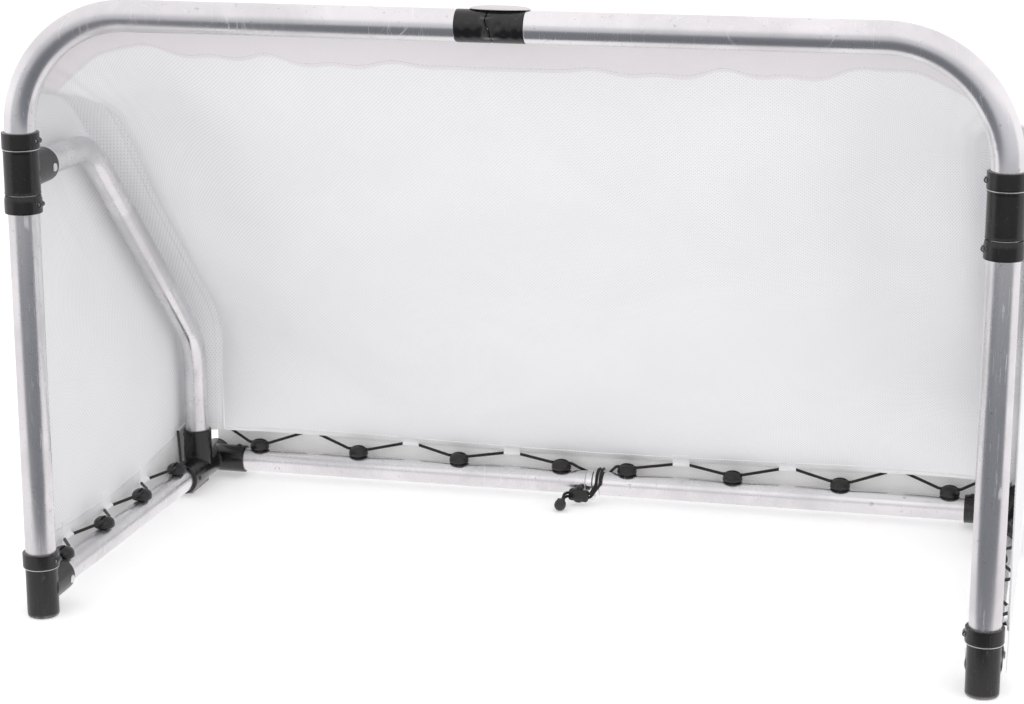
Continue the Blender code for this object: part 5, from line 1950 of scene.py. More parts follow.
    def lock(self) -> None:
        """Builds the sprung cord lock and its push button."""
        at = spot(*self.lock_at)
        width, depth, height = self.lock_size
        shell = box_mesh(at, (width, depth, height * 0.86), 0.0042, 4)
        barrel = turned(rod(depth * 0.46, -height / 2, height / 2, 0.0016), at, Z_AXIS, 48)
        rib = box_mesh(at - Y_AXIS * depth * 0.47, (width * 0.52, 0.0022, height * 0.42), 0.0008)
        bores = [turned(rod(self.cord_r + 0.0006, -width, width, 0.0), at + Z_AXIS * offset, X_AXIS, 28)
            for offset in (-self.strand_gap / 2, self.strand_gap / 2)]
        bores.append(turned(rod(self.button_r + 0.0003, height / 2 - 0.0058, height, 0.0), at, Z_AXIS, 40))
        mesh = fused([shell, barrel, rib], 0.0004, 1, bores)
        turn = Matrix.Rotation(math.radians(self.lock_tilt), 4, "Y")
        tilt = Matrix.Translation(at) @ turn @ Matrix.Translation(-at)
        mesh.transform(tilt)
        for_node("cord_lock", "moulding", mesh, BLACK_HOOK, "rear_left")
        r = self.button_r
        proud = self.button_proud
        profile = soften([(0.0, proud - 0.0004), (r * 0.5, proud - 0.0004), (r * 0.62, proud), (r, proud),
            (r, -0.002), (0.0, -0.002)], 0.0005)
        mesh = turned(profile, at + Z_AXIS * height / 2, Z_AXIS, 40)
        mesh.transform(tilt)
        for_node("cord_lock_button", "moulding", mesh, BLACK_HOOK, "lock_button")

    def clip(self) -> None:
        """Builds the egg-shaped clip that holds the cord's two ends."""
        clip = spot(*self.lock_at) + Vector(self.clip_shift)
        width, length, height = self.clip_size
        half = length / 2
        clip.z = height / 2 + 0.0004
        outline = [(0.5 * math.sin(t) ** 0.8 * (1.0 + 0.1 * math.cos(t)), -half * math.cos(t))
            for t in np.linspace(0, math.pi, 26)]
        egg = turned(outline, Vector(), Y_AXIS, 48)
        egg.transform(Matrix.Translation(clip) @ Matrix.Diagonal((width, 1.0, height, 1.0)))
        ridges = [box_mesh(clip + Y_AXIS * (k - 1) * 0.0034 + Z_AXIS * height * 0.44,
            (width * 0.55, 0.0013, 0.002), 0.0005) for k in range(3)]
        room = (2 * self.cord_r + 0.001, length, self.strand_gap + 2 * self.cord_r + 0.001)
        hollow = box_mesh(clip + Y_AXIS * (half - self.cord_r), room, 0.0016, 3)
        mesh = fused([egg, *ridges], 0.0004, 2, [hollow])
        for_node("cord_clip", "moulding", mesh, GREY_CLIP, "rear_left")


@dataclass
class NetBag:
    """The net: a back sheet in four pieces and two side sheets, with band, hems, tabs and stitches."""

    frame: Frame
    lacing: Lacing
    behind_bar: float = 0.024
    over_bar: float = 0.002
    thickness: float = 0.0009
    side_front_y: float = 0.0285
    side_top: float = 0.04
    side_hem_front_z: float = 0.07
    side_hem_sag: float = 0.0215
    seam_inset: float = 0.03
    split: float = 0.5
    sag: float = 0.022
    sag_lean: float = 0.35
    fold_depth: float = 0.0026
    band: float = 0.082
    hem_height: float = 0.014
    gather: float = 0.003
    scallop: float = 0.0015
    skirt_y: float = 0.6422
    skirt_low: float = 0.018
    stud_x: tuple[float, ...] = (0.06, 0.155, 0.25, 0.345, 0.435)
    gusset: float = 0.028
    collar_clearance: float = 0.0026
    columns: int = 180
    rows: int = 120
    side_columns: int = 110

    def build(self) -> None:
        """Builds all sheets of the bag with their trims."""
        for side in Side:
            trims = self.upper_trims(side), self.lower_trims(side), self.side_trims(side)
            self.back(side, trims[0], trims[1])
            self.side(side, trims[2])

    @staticmethod
    def along(table: Sequence[Vector], share: float) -> Vector:
        """Point at a share of the way along a short list of points, by smooth steps.

        Args:
            table: the points.
            share: 0 at the first one, 1 at the last.

        Returns:
            The point.
        """
        position = min(max(share, 0.0), 1.0) * (len(table) - 1)
        i = min(int(position), len(table) - 2)
        t = position - i
        p0, p1, p2, p3 = table[max(i - 1, 0)], table[i], table[i + 1], table[min(i + 2, len(table) - 1)]
        return 0.5 * (2 * p1 + (p2 - p0) * t + (2 * p0 - 5 * p1 + 4 * p2 - p3) * t * t
            + (3 * p1 - p0 - 3 * p2 + p3) * t ** 3)

    def hem(self, share: float) -> Vector:
        """Point of the back sheet's left hem, from the middle to the side seam.

        Args:
            share: 0 at the goal's middle, 1 at the side seam.

        Returns:
            The point.
        """
        f = self.frame
        x = -(f.half_span - self.seam_inset) * share
        return Vector((x, f.bar_y + self.lacing.hem_behind,
            self.lacing.rear_tab(x).z + self.lacing.hem_over_tab))

    def seam(self, share: float) -> Vector:
        """Point of the left seam between the back and the side sheet, from its top down.

        Args:
            share: 0 at the top, 1 at the hem.

        Returns:
            The point.
        """
        f = self.frame
        x = -(f.half_span - self.seam_inset)
        slant = Vector((0, f.leg_y - f.side_bend_y, f.leg_bend_z - f.side_tube_z)).normalized()
        out = Vector((0, -slant.z, slant.y)) * 0.043
        bend = Vector((x, f.side_bend_y, f.side_tube_z))
        knee = Vector((x, f.leg_y, f.leg_bend_z))
        behind = f.leg_y + 0.03
        table = [Vector((-f.half_span - 0.018, 0.052, f.collar_z + 0.09)),
            Vector((-f.half_span + 0.02, 0.13, f.collar_z + 0.078)),
            bend + Vector((0, 0.024, 0.046)), bend.lerp(knee, 0.38) + out, bend.lerp(knee, 0.72) + out,
            knee + Vector((0, 0.026, 0.03)), Vector((x, behind, 0.15)), Vector((x, behind, self.hem(1.0).z))]
        return self.along(table, share)

    def top_edge(self, across: float) -> Vector:
        """Point of the left top edge: along the crossbar from the middle and round its bend.

        Args:
            across: 0 at the goal's middle, 1 at the side seam.

        Returns:
            The point.
        """
        f = self.frame
        straight = f.half_span - f.crossbar_bend_r
        turn = math.radians(78)
        run = across * (straight + f.crossbar_bend_r * turn)
        level = f.crossbar_z + self.over_bar
        if run <= straight:
            return Vector((-run, self.behind_bar, level))
        angle = (run - straight) / f.crossbar_bend_r
        arc = Vector((-straight - f.crossbar_bend_r * math.sin(angle), self.behind_bar,
            level - f.crossbar_bend_r * (1 - math.cos(angle))))
        return arc + (self.seam(0.0) - arc) * (angle / turn) ** 6

    def back_point(self, across: float, down: float, side: Side) -> Vector:
        """Point of half of the back sheet, in the left half's coordinates.

        Args:
            across: share of the way from the middle to the side seam.
            down: share of the way from the top edge to the hem.
            side: which half it is, since their wrinkles differ.

        Returns:
            The point, with y from the uprights.
        """

        def flat(share: float) -> Vector:
            """Point of the sheet as it would hang without its seam."""
            place = self.top_edge(share).lerp(self.hem(share), down)
            return place - Vector((0, self.sag_lean, 1.0)) * self.sag * math.sin(math.pi * down)

        point = flat(across) + (self.seam(down) - flat(1.0)) * across ** 4
        fade = math.sin(math.pi * down) * math.sin(math.pi * min(across * 1.02, 1.0))
        ripple = math.sin(9.0 * across + 2.4 * down) + 0.6 * math.sin(21.0 * across - 5.0 * down)
        point += Vector((0, 0.7, 0.7)) * self.fold_depth * ripple * fade
        shift = 0.9 if side is Side.LEFT else 2.3
        near = math.exp(-((across - 0.93) / 0.085) ** 2) * math.exp(-down / 0.13) * min(down / 0.012, 1.0)
        wrinkle = math.sin(across * 205.0 + shift + 3.0 * math.sin(down * 21.0 + shift)) * 0.6
        wrinkle += math.sin(across * 118.0 - 9.0 * down)
        point.y += self.gather * wrinkle * near
        pucker = math.exp(-down / 0.05) * math.sin(math.pi * across) * min(down / 0.01, 1.0)
        point.y += 0.0011 * pucker * math.sin(across * 96.0 + 2.0 * math.sin(across * 17.0 + shift))
        hooks = self.frame.rear_hook_x
        pitch = hooks[1] - hooks[0]
        tab_x = (hooks[0] + hooks[1]) / 2
        lift = 0.5 + 0.5 * math.cos(2 * math.pi * (-point.x - tab_x) / pitch + math.pi)
        point += Vector((0, -0.7, 0.7)) * self.scallop * lift * down ** 14 * (1.0 - across ** 8)
        return point

    def side_point(self, share: float, down: float, side: Side) -> Vector:
        """Point of a side sheet, in the left one's coordinates, whose last share turns in to the seam.

        Args:
            share: 0 at the sheet's front, 1 at the seam.
            down: 0 at the sheet's top, 1 at its hem.
            side: left or right.

        Returns:
            The point.
        """
        f = self.frame
        fold = 11 / 12
        x = -f.half_span - self.lacing.net_outside
        seam = self.seam(down)
        run = min(share / fold, 1.0)
        top = Vector((x, self.side_front_y, f.collar_z + self.side_top))
        front = top.lerp(Vector((x, self.side_front_y, self.side_hem_front_z)), down)
        point = front.lerp(seam, 0.98 * run)
        wave = math.sin((-6.0 if side is Side.LEFT else -5.0) * run + 11.0 * down)
        bulge = math.sin(math.pi * run) * math.sin(math.pi * down) * (1 + wave) / 2
        flat_x = x - self.fold_depth * bulge
        point.x += (flat_x - point.x) * min(down / 0.12 + 1.0 - run, 1.0)
        point.z -= self.side_hem_sag * math.sin(math.pi * run) * down ** 6
        hooks = f.side_hook_y
        pitch = hooks[1] - hooks[0]
        tab_y = (hooks[0] + hooks[1]) / 2
        lift = 0.5 + 0.5 * math.cos(2 * math.pi * (point.y - tab_y) / pitch + math.pi)
        point.z += self.scallop * lift * down ** 14 * math.sin(math.pi * run)
        if share > fold:
            point = point.lerp(seam, (share - fold) / (1 - fold))
        return point

    def back_skirt_point(self, across: float, down: float, side: Side) -> Vector:
        """Point of the strip that runs from the back hem over the cord and hangs down behind the rear bar.

        Args:
            across: 0 at the goal's middle, 1 at the side seam.
            down: 0 at the hem, 1 at the strip's lower edge.
            side: left or right.

        Returns:
            The point.
        """
        hem = self.back_point(across, 1.0, side)
        corner = min(max((across - 0.955) / 0.045, 0.0), 1.0)
        over = 0.12
        t = min(down / over, 1.0)
        x = hem.x - self.gusset * corner * t
        back = self.skirt_y + self.collar_clearance * min(max((across - 0.9) / 0.05, 0.0), 1.0)
        if down <= over:
            return Vector((x, hem.y + (back - hem.y) * t, hem.z + 0.0004 * math.sin(math.pi * t)))
        t = (down - over) / (1.0 - over)
        wave = 0.0009 * math.sin(across * 64.0 + 2.0 * t) * t
        return Vector((x, back + 0.0006 + wave, hem.z + (self.skirt_low - hem.z) * t))

    def side_skirt_point(self, share: float, down: float, side: Side) -> Vector:
        """Point of the strip that hangs from a side hem down outside the lower side tube.

        Args:
            share: 0 at the sheet's front, 1 at the seam.
            down: 0 at the hem, 1 at the strip's lower edge.
            side: left or right.

        Returns:
            The point.
        """
        hem = self.side_point(share, 1.0, side)
        wave = 0.0007 * math.sin(share * 52.0 + 2.0 * down) * down
        return Vector((hem.x + wave, hem.y, hem.z + (self.skirt_low - hem.z) * down))

    def placed(self, point: Vector, side: Side) -> Vector:
        """Point of the left half's coordinates moved to a side and into the row's frame."""
        return spot(point.x * -side.value, point.y, point.z)

    def on(self, formula: Callable[[float, float, Side], Vector], across: float, down: float, side: Side,
            lift: Vector = Vector()) -> Vector:
        """Point of a sheet in the row's frame, with a lift off the sheet in the left half's coordinates."""
        return self.placed(formula(across, down, side) + lift, side)

    def cloth(self, rows: np.ndarray, maps: np.ndarray, thickness: float) -> Mesh:
        """Makes one closed sheet of cloth from a grid of points.

        Args:
            rows: points as an array of rows by columns by 3.
            maps: the cloth's own flat coordinates at each point, rows by columns by 2.
            thickness: the cloth's thickness in metres.

        Returns:
            The sheet's mesh.
        """
        n, m = rows.shape[:2]
        mesh = bpy.data.meshes.new("single_sheet")
        faces = [(i * m + k, i * m + k + 1, (i + 1) * m + k + 1, (i + 1) * m + k)
            for i in range(n - 1) for k in range(m - 1)]
        mesh.from_pydata([tuple(p) for p in rows.reshape(-1, 3)], [], faces)
        layer = mesh.uv_layers.new(name="UVMap")
        layer.data.foreach_set("uv", maps.reshape(-1, 2)[np.array(faces).ravel()].astype(np.float32).ravel())
        obj = linked("single_sheet", mesh)
        wall = obj.modifiers.new("thickness", "SOLIDIFY")
        wall.thickness = thickness
        wall.offset = 0.0
        return finish_mesh(evaluated_mesh(obj), 45.0)

    def grid(self, side: Side, formula: Callable[[float, float, Side], Vector], across: Iterable[float],
            down: Iterable[float]) -> tuple[np.ndarray, np.ndarray]:
        """Points and flat coordinates of a sheet, from a formula for the left half's surface.

        Args:
            side: left or right.
            formula: point for two shares and a side.
            across: shares across the sheet.
            down: shares down the sheet.

        Returns:
            The points and their flat coordinates.
        """
        shares = list(across)
        points = np.array([[tuple(self.on(formula, a, d, side)) for a in shares] for d in down])
        return points, self.flat_map(running(points[len(points) // 2]) * side.value, running(points[:, 0]))

    @staticmethod
    def flat_map(across: np.ndarray, down: np.ndarray) -> np.ndarray:
        """Flat coordinates of a grid of points, from its lengths across and down."""
        return np.stack(np.broadcast_arrays(across[None, :], down[:, None]), 2)

    def back(self, side: Side, above: list[Object], below: list[Object]) -> None:
        """Builds half of the back sheet, in an upper and a lower piece.

        Args:
            side: left or right.
            above: trims of the upper piece; not used.
            below: trims of the lower piece; not used.
        """
        points, maps = self.grid(side, self.back_point, np.linspace(0, 1, self.columns + 1),
            np.linspace(0, 1, self.rows + 1))
        cut = round(self.rows * self.split)
        pieces = (("upper", 0, cut, "front_", "front_{}_tube", above),
            ("lower", cut, self.rows, "rear_", "rear_{}_lacing", below))
        for part, first, last, body, rest, trims in pieces:
            node = f"back_net_{part}_{side.word}"
            rows = points[first:last + 1]
            mesh = self.cloth(rows, maps[first:last + 1], self.thickness)
            obj = for_node(node, "mesh", mesh, NET_CLOTH, body + side.word)
            rest.format(side.word)
            self.fold(obj, part)

    def fold(self, obj: Object, part: str) -> None:
        """Gives a piece of the back sheet its own copy of its mesh.

        Args:
            obj: the piece.
            part: whether it is of the upper or the lower sheet.
        """
        if part == "upper":
            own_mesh(obj)
        else:
            self.hem(0.5).z
            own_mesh(obj)

    def side(self, side: Side, trims: list[Object]) -> None:
        """Builds one side sheet.

        Args:
            side: left or right.
            trims: pieces that lie on the sheet; not used.
        """
        points, maps = self.grid(side, self.side_point, np.linspace(0, 1, self.side_columns + 1),
            np.linspace(0, 1, self.rows + 1))
        node = "side_net_" + side.word
        mesh = self.cloth(points, maps, self.thickness)
        obj = for_node(node, "mesh", mesh, NET_CLOTH, side.word + "_side")
        side.word + "_side_lacing"

    def strip(self, name: str, side: Side, formula: Callable[[float, float, Side], Vector],
            across: Iterable[float], downs: Callable[[float, float], float], steps: int, lift: Vector,
            finish: Finish, body: str, slot: str) -> Object:
        """Builds a doubled strip of cloth that lies on a sheet.

        Args:
            name: the strip's name.
            side: its side.
            formula: the sheet's surface.
            across: shares across the sheet.
            downs: share down the sheet, from the share across and the strip's own share of its width.
            steps: number of steps over the strip's width.
            lift: how far the strip lies off the sheet, in the left half's coordinates.
            finish: its finish.
            body: the body that it rides on.
            slot: the record's material slot, passed on with the strip.

        Returns:
            The strip's object.
        """
        shares = list(across)
        points = np.array([[tuple(self.on(formula, a, downs(a, i / steps), side, lift)) for a in shares]
            for i in range(steps + 1)])
        maps = self.flat_map(running(points[0]), running(points[:, 0]))
        return place_piece(name, self.cloth(points, maps, 0.0007), finish, body, slot)

    def rope(self, name: str, points: Sequence[Vector], radius: float, finish: Finish, body: str,
            slot: str) -> Object:
        """Builds a thin rolled edge or piping along points of the row's frame."""
        mesh = sweep(points, [radius * 0.6] + [radius] * (len(points) - 2) + [radius * 0.6], 10)
        return place_piece(name, mesh, finish, body, slot)

    def band_edge(self, across: float, side: Side) -> float:
        """Share down the sheet of the doubled band's wavy lower edge.

        Args:
            across: 0 at the goal's middle, 1 at the side seam.
            side: left or right.

        Returns:
            The share.
        """
        shift = 0.0 if side is Side.LEFT else 1.4
        wave = math.sin(across * 23.0 + shift) + 0.7 * math.sin(across * 51.0 + 2.0 * shift)
        return self.band * (1.0 + 0.075 * wave * math.sin(math.pi * across))

    def upper_trims(self, side: Side) -> list[Object]:
        """Builds the doubled band along the crossbar, its welt, stitches and press studs.

        Args:
            side: left or right.

        Returns:
            The band, its welt and its stitches.
        """
        f = self.frame
        body = "front_" + side.word
        slot = "back_net_upper_" + side.word
        shares = np.linspace(0, 1, 181)
        lift = Vector((0, -0.0008, -0.0002))
        # The band's cloth is darker, partly painted shade.
        band = self.strip(f"{side.word}_top_band", side, self.back_point, shares,
            lambda a, t: self.band_edge(a, side) * t, 14, lift, SHADED_BAND_CLOTH, body, slot)
        route = [self.placed(self.top_edge(a) + Z_AXIS * 0.0008, side) for a in shares]
        welt = self.rope(f"{side.word}_top_welt", route, 0.002, SHADED_BAND_CLOTH, body, slot)
        lines = [[self.on(self.back_point, a, self.band_edge(a, side) * t, side, lift * 1.5) for a in shares]
            for t in (0.1, 0.93)]
        seams = stitches(f"{side.word}_band_stitches", lines, 0.0052, 0.0031, body, slot)
        for obj in (band, welt, seams):
            self.fold(obj, "upper")
        stud = turned(soften([(0.0, 0.0016), (0.003, 0.0014), (0.0048, 0.0006), (0.0048, 0.0),
            (0.0019, 0.0), (0.0019, -0.0062), (0.0, -0.0062)], 0.0003), sides=24)
        places = [(spot(side.value * x, self.behind_bar + 0.0007, f.crossbar_z - 0.004), Y_AXIS, X_AXIS)
            for x in self.stud_x]
        set_out(f"{side.word}_band_studs", stud, places, WHITE_PAD, body, slot)
        return [band, welt, seams]

    def tab(self, cord: Sequence[Vector], inward: Vector, up: Vector, above: float) -> Mesh:
        """Builds one cloth loop that hangs from the hem round the cord.

        Args:
            cord: points along the cord inside the loop.
            inward: unit vector off the sheet, towards the goal.
            up: unit vector up the sheet.
            above: how far the hem lies above the cord, along up.

        Returns:
            The loop's mesh.
        """
        off = 0.0052 if above < 0.001 else 0.0038
        arc = [(0.0033 * math.cos(t), 0.0033 * math.sin(t)) for t in np.radians(np.linspace(100, -150, 12))]
        outline = [(0.0019 - off, 0.0072), *arc, (0.0004 - off, above + 0.0005), (0.0004 - off, 0.02 + above),
            (0.0016 - off, 0.0202 + above)]
        rows = []
        for i, at in enumerate(cord):
            edge = min(i, len(cord) - 1 - i)
            shrink = (0.9, 0.97)[edge] if edge < 2 else 1.0
            rows.append([tuple(at + inward * a * shrink + up * b * (0.5 + 0.5 * shrink)) for a, b in outline])
        points = np.array(rows)
        run = np.cumsum([0.0] + [(q - p).length for p, q in zip(cord, cord[1:])])
        girth = np.cumsum([0.0] + [math.dist(p, q) for p, q in zip(outline, outline[1:] + outline[:1])])
        return finish_mesh(lattice(points, run, girth, True, False, True), 42.0)

    def loops(self, name: str, cords: list[tuple[list[Vector], Vector, Vector, float]], body: str,
            slot: str) -> Object:
        """Builds all cloth loops of one hem as one piece."""
        meshes = [self.tab(*cord) for cord in cords]
        return place_piece(name, finish_mesh(joined(meshes), 42.0, False), TAPE, body, slot)

    def lower_trims(self, side: Side) -> list[Object]:
        """Builds the back hem's tape, rolled edge, stitches and loops.

        Args:
            side: left or right.

        Returns:
            The pieces that belong to the sheet.
        """
        s = side.value
        lace = self.lacing
        body = "rear_" + side.word
        slot = "back_net_lower_" + side.word
        shares = np.linspace(0, 1, 151)
        drop = 0.9
        start = 1.0 - self.hem_height / drop
        lift = Vector((0, -0.7, -0.7)) * 0.001
        tape = self.strip(f"{side.word}_back_hem", side, self.back_point, shares,
            lambda a, t: start + (1.0 - start) * t, 4, lift, TAPE, body, slot)
        roll = self.rope(f"{side.word}_back_hem_roll",
            [self.on(self.back_point, a, 1.0, side) for a in shares], 0.0016, TAPE, body, slot)
        line = [self.on(self.back_point, a, start + 0.12 * (1.0 - start), side, lift * 1.7) for a in shares]
        seams = stitches(f"{side.word}_back_hem_stitches", [line], 0.0048, 0.003, body, slot)
        # The skirt's cloth is made paler as painted light against its shade.
        skirt = self.strip(f"{side.word}_back_skirt", side, self.back_skirt_point, np.linspace(0, 1, 130),
            lambda a, t: t, 10, Vector(), LIGHTENED_SKIRT_CLOTH, body, slot)
        for obj in (tape, roll, seams, skirt):
            self.fold(obj, "lower")
        hooks = self.frame.rear_hook_x
        cords = [[lace.rear_tab(s * ((a + b) / 2 + lace.tab_half * t)) for t in TAB_STEPS]
            for a, b in zip(hooks, hooks[1:])]
        cords.append([lace.rear_tab(s * (0.561 + 0.007 * t)) for t in (-1.0, -0.9, -0.7, 0.0, 0.7, 0.9, 1.0)])
        built = [(cord, Vector((0, -0.71, -0.7)), Vector((0, -0.7, 0.71)), 0.0) for cord in cords]
        loops = self.loops(f"{side.word}_back_hem_loops", built, body, slot)
        return [tape, roll, seams, skirt, loops]

    def side_trims(self, side: Side) -> list[Object]:
        """Builds a side sheet's hems, seam piping, stitches, loops and corner patch.

        Args:
            side: left or right.

        Returns:
            The pieces that belong to the sheet.
        """
        s = side.value
        lace = self.lacing
        body = side.word + "_side"
        slot = "side_net_" + side.word
        word = side.word
        shares = np.linspace(0, 0.99, 100)
        lift = Vector((0.001, 0, 0))
        start = 1.0 - self.hem_height / 0.53
        strips = (
            ("hem", self.side_point, shares, lambda a, t: start + (1.0 - start) * t, 4, lift, TAPE),
            ("front_hem", lambda a, d, which: self.side_point(d, a, which), np.linspace(0, 1, 70),
            lambda a, t: 0.022 * (1.0 - t), 3, lift, TAPE),
            ("corner_patch", self.side_point, np.linspace(0.0, 0.05, 12),
            lambda a, t: 1.0 - (0.052 - a) * 0.92 * (1.0 - t), 8, lift * 1.9, TAPE),
            ("skirt", self.side_skirt_point, np.linspace(0.0, 0.905, 90), lambda a, t: t, 8, Vector(),
            LIGHTENED_SKIRT_CLOTH))
        trims = [self.strip(f"{word}_side_{label}", side, *rest, body, slot) for label, *rest in strips]
        ropes = (
            ("hem_roll", [self.side_point(a, 1.0, side) for a in shares], 0.0015),
            ("front_roll", [self.side_point(0.0, d, side) for d in np.linspace(0, 1, 70)], 0.0014),
            ("top_roll", [self.side_point(a, 0.0, side) for a in shares], 0.0014),
            ("seam_piping", [self.seam(t) for t in np.linspace(0, 1, 140)], 0.0016))
        for label, points, radius in ropes:
            route = [self.placed(p, side) for p in points]
            trims.append(self.rope(f"{word}_side_{label}", route, radius, TAPE, body, slot))
        over_seam = Vector((0, -0.0008, -0.0008))
        lines = [[self.on(self.side_point, a, start + 0.12 * (1.0 - start), side, lift * 1.7)
            for a in shares],
            [self.on(self.side_point, 0.019, d, side, lift * 1.7) for d in np.linspace(0.01, 0.99, 70)],
            [self.on(self.side_point, 0.985, d, side, over_seam) for d in np.linspace(0.01, 0.99, 90)]]
        trims.append(stitches(f"{word}_side_stitches", lines, 0.0048, 0.003, body, slot))
        hooks = self.frame.side_hook_y
        cords = [[lace.side_tab(side, (a + b) / 2 + lace.tab_half * t) for t in TAB_STEPS]
            for a, b in zip(hooks, hooks[1:])]
        first_x, *first_yz = lace.side_front
        front = spot(s * first_x, *first_yz)
        cords.append([front + Y_AXIS * 0.0052 * (t + 1.0) for t in TAB_STEPS])
        built = [(cord, X_AXIS * -s, Z_AXIS, lace.hem_over_tab) for cord in cords]
        trims.append(self.loops(f"{word}_side_loops", built, body, slot))
        return trims

    @staticmethod
    def area(points: np.ndarray) -> float:
        """Area of a grid of points, in square metres.

        Args:
            points: rows of points.

        Returns:
            The area.
        """
        a, b, c, d = points[:-1, :-1], points[:-1, 1:], points[1:, 1:], points[1:, :-1]
        one = np.linalg.norm(np.cross(b - a, d - a), axis=2)
        two = np.linalg.norm(np.cross(b - c, d - c), axis=2)
        return float((one + two).sum() / 2)


@dataclass
class Small:
    """The pins of the middle joints and the pad on the crossbar."""

    frame: Frame
    pin_r: float = 0.0014
    rear_pin_r: float = 0.0016
    pad_size: Point = (0.072, 0.022, 0.004)
    pad_shift: float = 0.01

    def build(self) -> None:
        """Builds the pins and the pad."""
        f = self.frame
        half = f.pin_half
        pin = turned(rod(self.pin_r, -half, half, 0.0004), spot(0, -f.pin_offset, f.crossbar_z), Z_AXIS, 32)
        for_node("crossbar_pin", "steel", pin, PIN_STEEL, "front_left")
        pin = turned(rod(self.rear_pin_r, -0.012, 0.012, 0.0004),
            spot(0, f.bar_y, f.bar_z - f.pin_offset), Y_AXIS, 28)
        for_node("rear_pin", "steel", pin, PIN_STEEL, "rear_left")
        length, width, height = self.pad_size
        outline = soften([(0.0, height), (0.3, height), (0.42, height * 0.8), (0.49, height * 0.35),
            (0.5, height * 0.15), (0.485, 0.0), (0.0, 0.0)], 0.02)
        mesh = turned(outline, sides=96)
        mesh.transform(Matrix.Translation(spot(self.pad_shift, 0, f.crossbar_z + f.main_r + f.fit))
            @ Matrix.Diagonal((length, width, 1.0, 1.0)))
        for_node("crossbar_pad", "moulding", finish_mesh(mesh), WHITE_PAD, "front_right")


# Studio


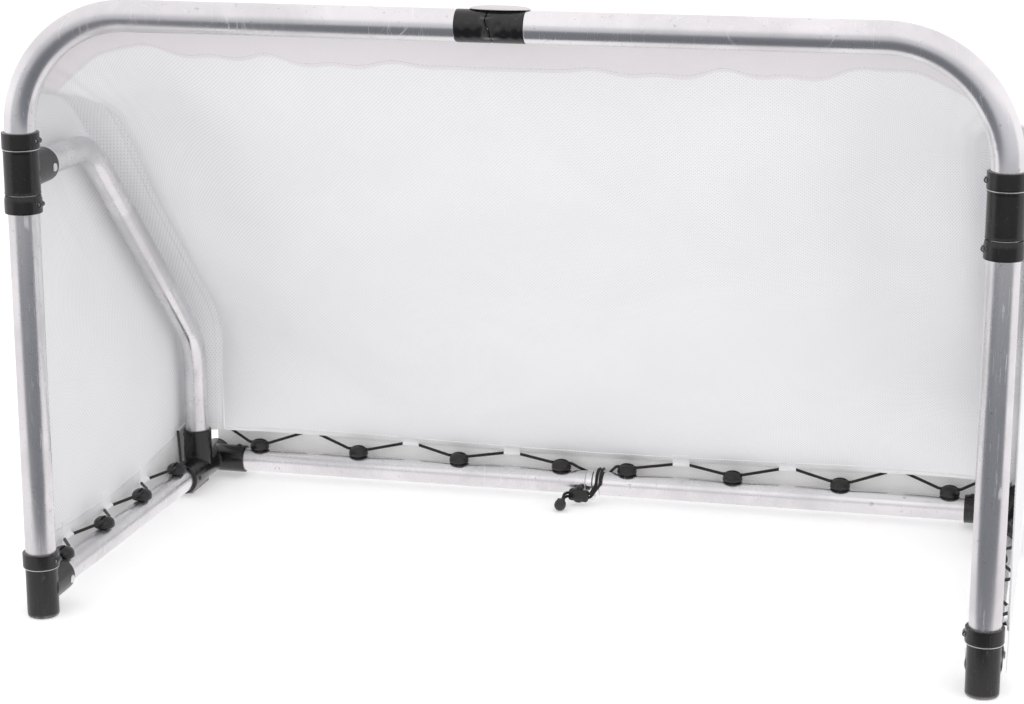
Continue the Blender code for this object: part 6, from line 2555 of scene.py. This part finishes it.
@dataclass
class Studio:
    """Camera at the photograph's viewing angle, pale floor and soft lamps."""

    camera_at: Point = (0.6618, -2.7352, 1.0966)
    yaw: float = 0.2292
    pitch: float = -0.2513
    focal_px: float = 2489.08
    image_width: int = 1024
    dark_tone: tuple[float, float, float, float] = (0.215, 0.225, 0.25, 1.0)
    far_tone: tuple[float, float, float, float] = (0.7, 0.7, 0.73, 1.0)
    bright_tone: tuple[float, float, float, float] = (1.08, 1.05, 1.07, 1.0)
    table_light: float = 0.98
    room_light: float = 1.13
    light_behind: float = 0.6

    def build(self) -> None:
        """Builds the camera, the floor, the lamps and the world."""
        scene = bpy.context.scene
        scene.view_settings.view_transform = "Standard"
        self.camera(scene)
        self.floor()
        self.lamps()
        self.world(scene)

    def camera(self, scene: bpy.types.Scene) -> None:
        """Adds the camera.

        Args:
            scene: scene that looks through it.
        """
        data = bpy.data.cameras.new("view")
        data.sensor_width = 36.0
        data.lens = 36.0 * self.focal_px / self.image_width
        data.clip_end = 50.0
        camera = linked("view", data)
        camera.location = spot(*self.camera_at)
        camera.rotation_euler = (math.pi / 2 + self.pitch, 0.0, self.yaw)
        scene.camera = camera

    @staticmethod
    def in_front(w: Wiring, x: Socket, ahead: Socket) -> Socket:
        """How far a direction points to the open front of the room, which is dark, from 0 to 1.

        Args:
            w: the node tree's wiring.
            x: the direction's part to the right.
            ahead: the direction's part to the front.

        Returns:
            A socket with the share.
        """
        angle = w.math("ARCTAN2", x, ahead)
        left = w.ramp(angle, math.radians(-53), math.radians(-45))
        right = w.ramp(angle, math.radians(76), math.radians(84), 1.0, 0.0)
        return w.times(left, right)

    def floor(self) -> None:
        """Adds the pale floor: white with the goal's soft shadow, and darker in front in reflections."""
        mesh = bpy.data.meshes.new("pale_floor")
        mesh.from_pydata([(-12, -12, 0), (12, -12, 0), (12, 12, 0), (-12, 12, 0)], [], [(0, 1, 2, 3)])
        floor = linked("pale_floor", mesh)
        floor.location.z = -0.0002
        material = bpy.data.materials.new("pale_floor_paint")
        material.use_nodes = True
        w = Wiring(material.node_tree)
        shader = material.node_tree.nodes["Principled BSDF"]
        output = material.node_tree.nodes["Material Output"]
        preset(shader, {"Base Color": (0.86, 0.86, 0.86, 1.0), "Roughness": 0.9, "Emission Color": WHITE})
        rays = w.add("ShaderNodeLightPath")
        seen = w.math("MAXIMUM", rays.outputs["Is Camera Ray"], rays.outputs["Is Transmission Ray"])
        w.into(w.times(seen, 0.34), shader, "Emission Strength")
        where = w.add("ShaderNodeTexCoord").outputs["Object"]
        place = w.add("ShaderNodeSeparateXYZ", None, {"Vector": where})
        ahead = w.minus(ORIGIN_Y, place.outputs[1])
        beside = w.math("MAXIMUM", w.minus(w.math("ABSOLUTE", place.outputs[0]), 0.58), 0.0)
        away = w.math("SQRT", w.plus(w.times(beside, beside), w.times(ahead, ahead)))
        tone = w.blend_color(w.ramp(away, 1.9, 3.6), self.dark_tone, self.far_tone)
        dark = w.times(self.in_front(w, w.plus(place.outputs[0], 0.25), ahead), w.ramp(away, 0.04, 0.18))
        shine = w.blend_color(dark, self.bright_tone, tone)
        glow = w.add("ShaderNodeEmission", None, {"Color": shine, "Strength": 0.92})
        table = w.add("ShaderNodeEmission", None, {"Color": WHITE, "Strength": self.table_light})
        lit = w.mixed(rays.outputs["Is Diffuse Ray"], shader, table)
        w.into(w.mixed(rays.outputs["Is Glossy Ray"], lit, glow).outputs[0], output, "Surface")
        mesh.materials.append(material)

    def lamps(self) -> None:
        """Adds the soft lamps."""
        lamps = (
            ("key_softbox", (-1.6, -1.8, 2.6), (0.0, 0.0, 0.3), 1.8, 3.5),
            ("fill_softbox", (2.7, -0.5, 1.6), (-0.4, 0.0, 0.3), 1.6, 7.0),
            ("top_softbox", (0.0, 0.4, 2.8), (0.0, 0.1, 0.0), 2.2, 3.5),
            ("rear_softbox", (0.2, 2.6, 1.8), (0.0, 0.3, 0.4), 2.0, 1.5))
        for name, at, target, size, power in lamps:
            data = bpy.data.lights.new(name, "AREA")
            data.shape = "SQUARE"
            data.size = size
            data.energy = power
            lamp = linked(name, data)
            lamp.location = at
            lamp.rotation_euler = (Vector(target) - Vector(at)).to_track_quat("-Z", "Y").to_euler()
            lamp.visible_glossy = False

    def world(self, scene: bpy.types.Scene) -> None:
        """Adds the surroundings: white to the camera, with a dark open front in reflections.

        Args:
            scene: scene that they surround.
        """
        world = bpy.data.worlds.new("studio")
        scene.world = world
        world.use_nodes = True
        tree = world.node_tree
        tree.nodes.clear()
        w = Wiring(tree)
        way = w.add("ShaderNodeTexCoord").outputs["Generated"]
        parts = w.add("ShaderNodeSeparateXYZ", None, {"Vector": way})
        ahead = w.times(parts.outputs[1], -1.0)
        low = w.ramp(parts.outputs[2], 0.05, 0.46, 1.0, 0.0)
        dark = w.times(self.in_front(w, parts.outputs[0], ahead), low)
        shine = w.blend_color(dark, self.bright_tone, self.far_tone)
        rays = w.add("ShaderNodeLightPath")
        soft = w.ramp(parts.outputs[1], 0.2, 0.7, self.room_light, self.light_behind)
        base = w.add("ShaderNodeBackground", None, {"Color": WHITE, "Strength": soft})
        seen = w.add("ShaderNodeBackground", None, {"Color": WHITE, "Strength": 1.0})
        mirrored = w.add("ShaderNodeBackground", None, {"Color": shine, "Strength": 1.0})
        see = w.math("MAXIMUM", rays.outputs["Is Camera Ray"], rays.outputs["Is Transmission Ray"])
        last = w.mixed(see, w.mixed(rays.outputs["Is Glossy Ray"], base, mirrored), seen)
        w.add("ShaderNodeOutputWorld", None, {0: last.outputs[0]})


def main() -> None:
    """Builds the goal's pieces in order, then the studio."""
    logging.basicConfig(level=logging.INFO, format="%(name)s %(message)s")
    Studio().build()
    sizes = Frame()
    for side in Side:
        FrontHalf(side, sizes).build()
        SideFrame(side, sizes).build()
        RearHalf(side, sizes).build()
    lacing = Lacing(sizes)
    lacing.build()
    NetBag(sizes, lacing).build()
    Small(sizes).build()


if __name__ == "__main__":
    main()
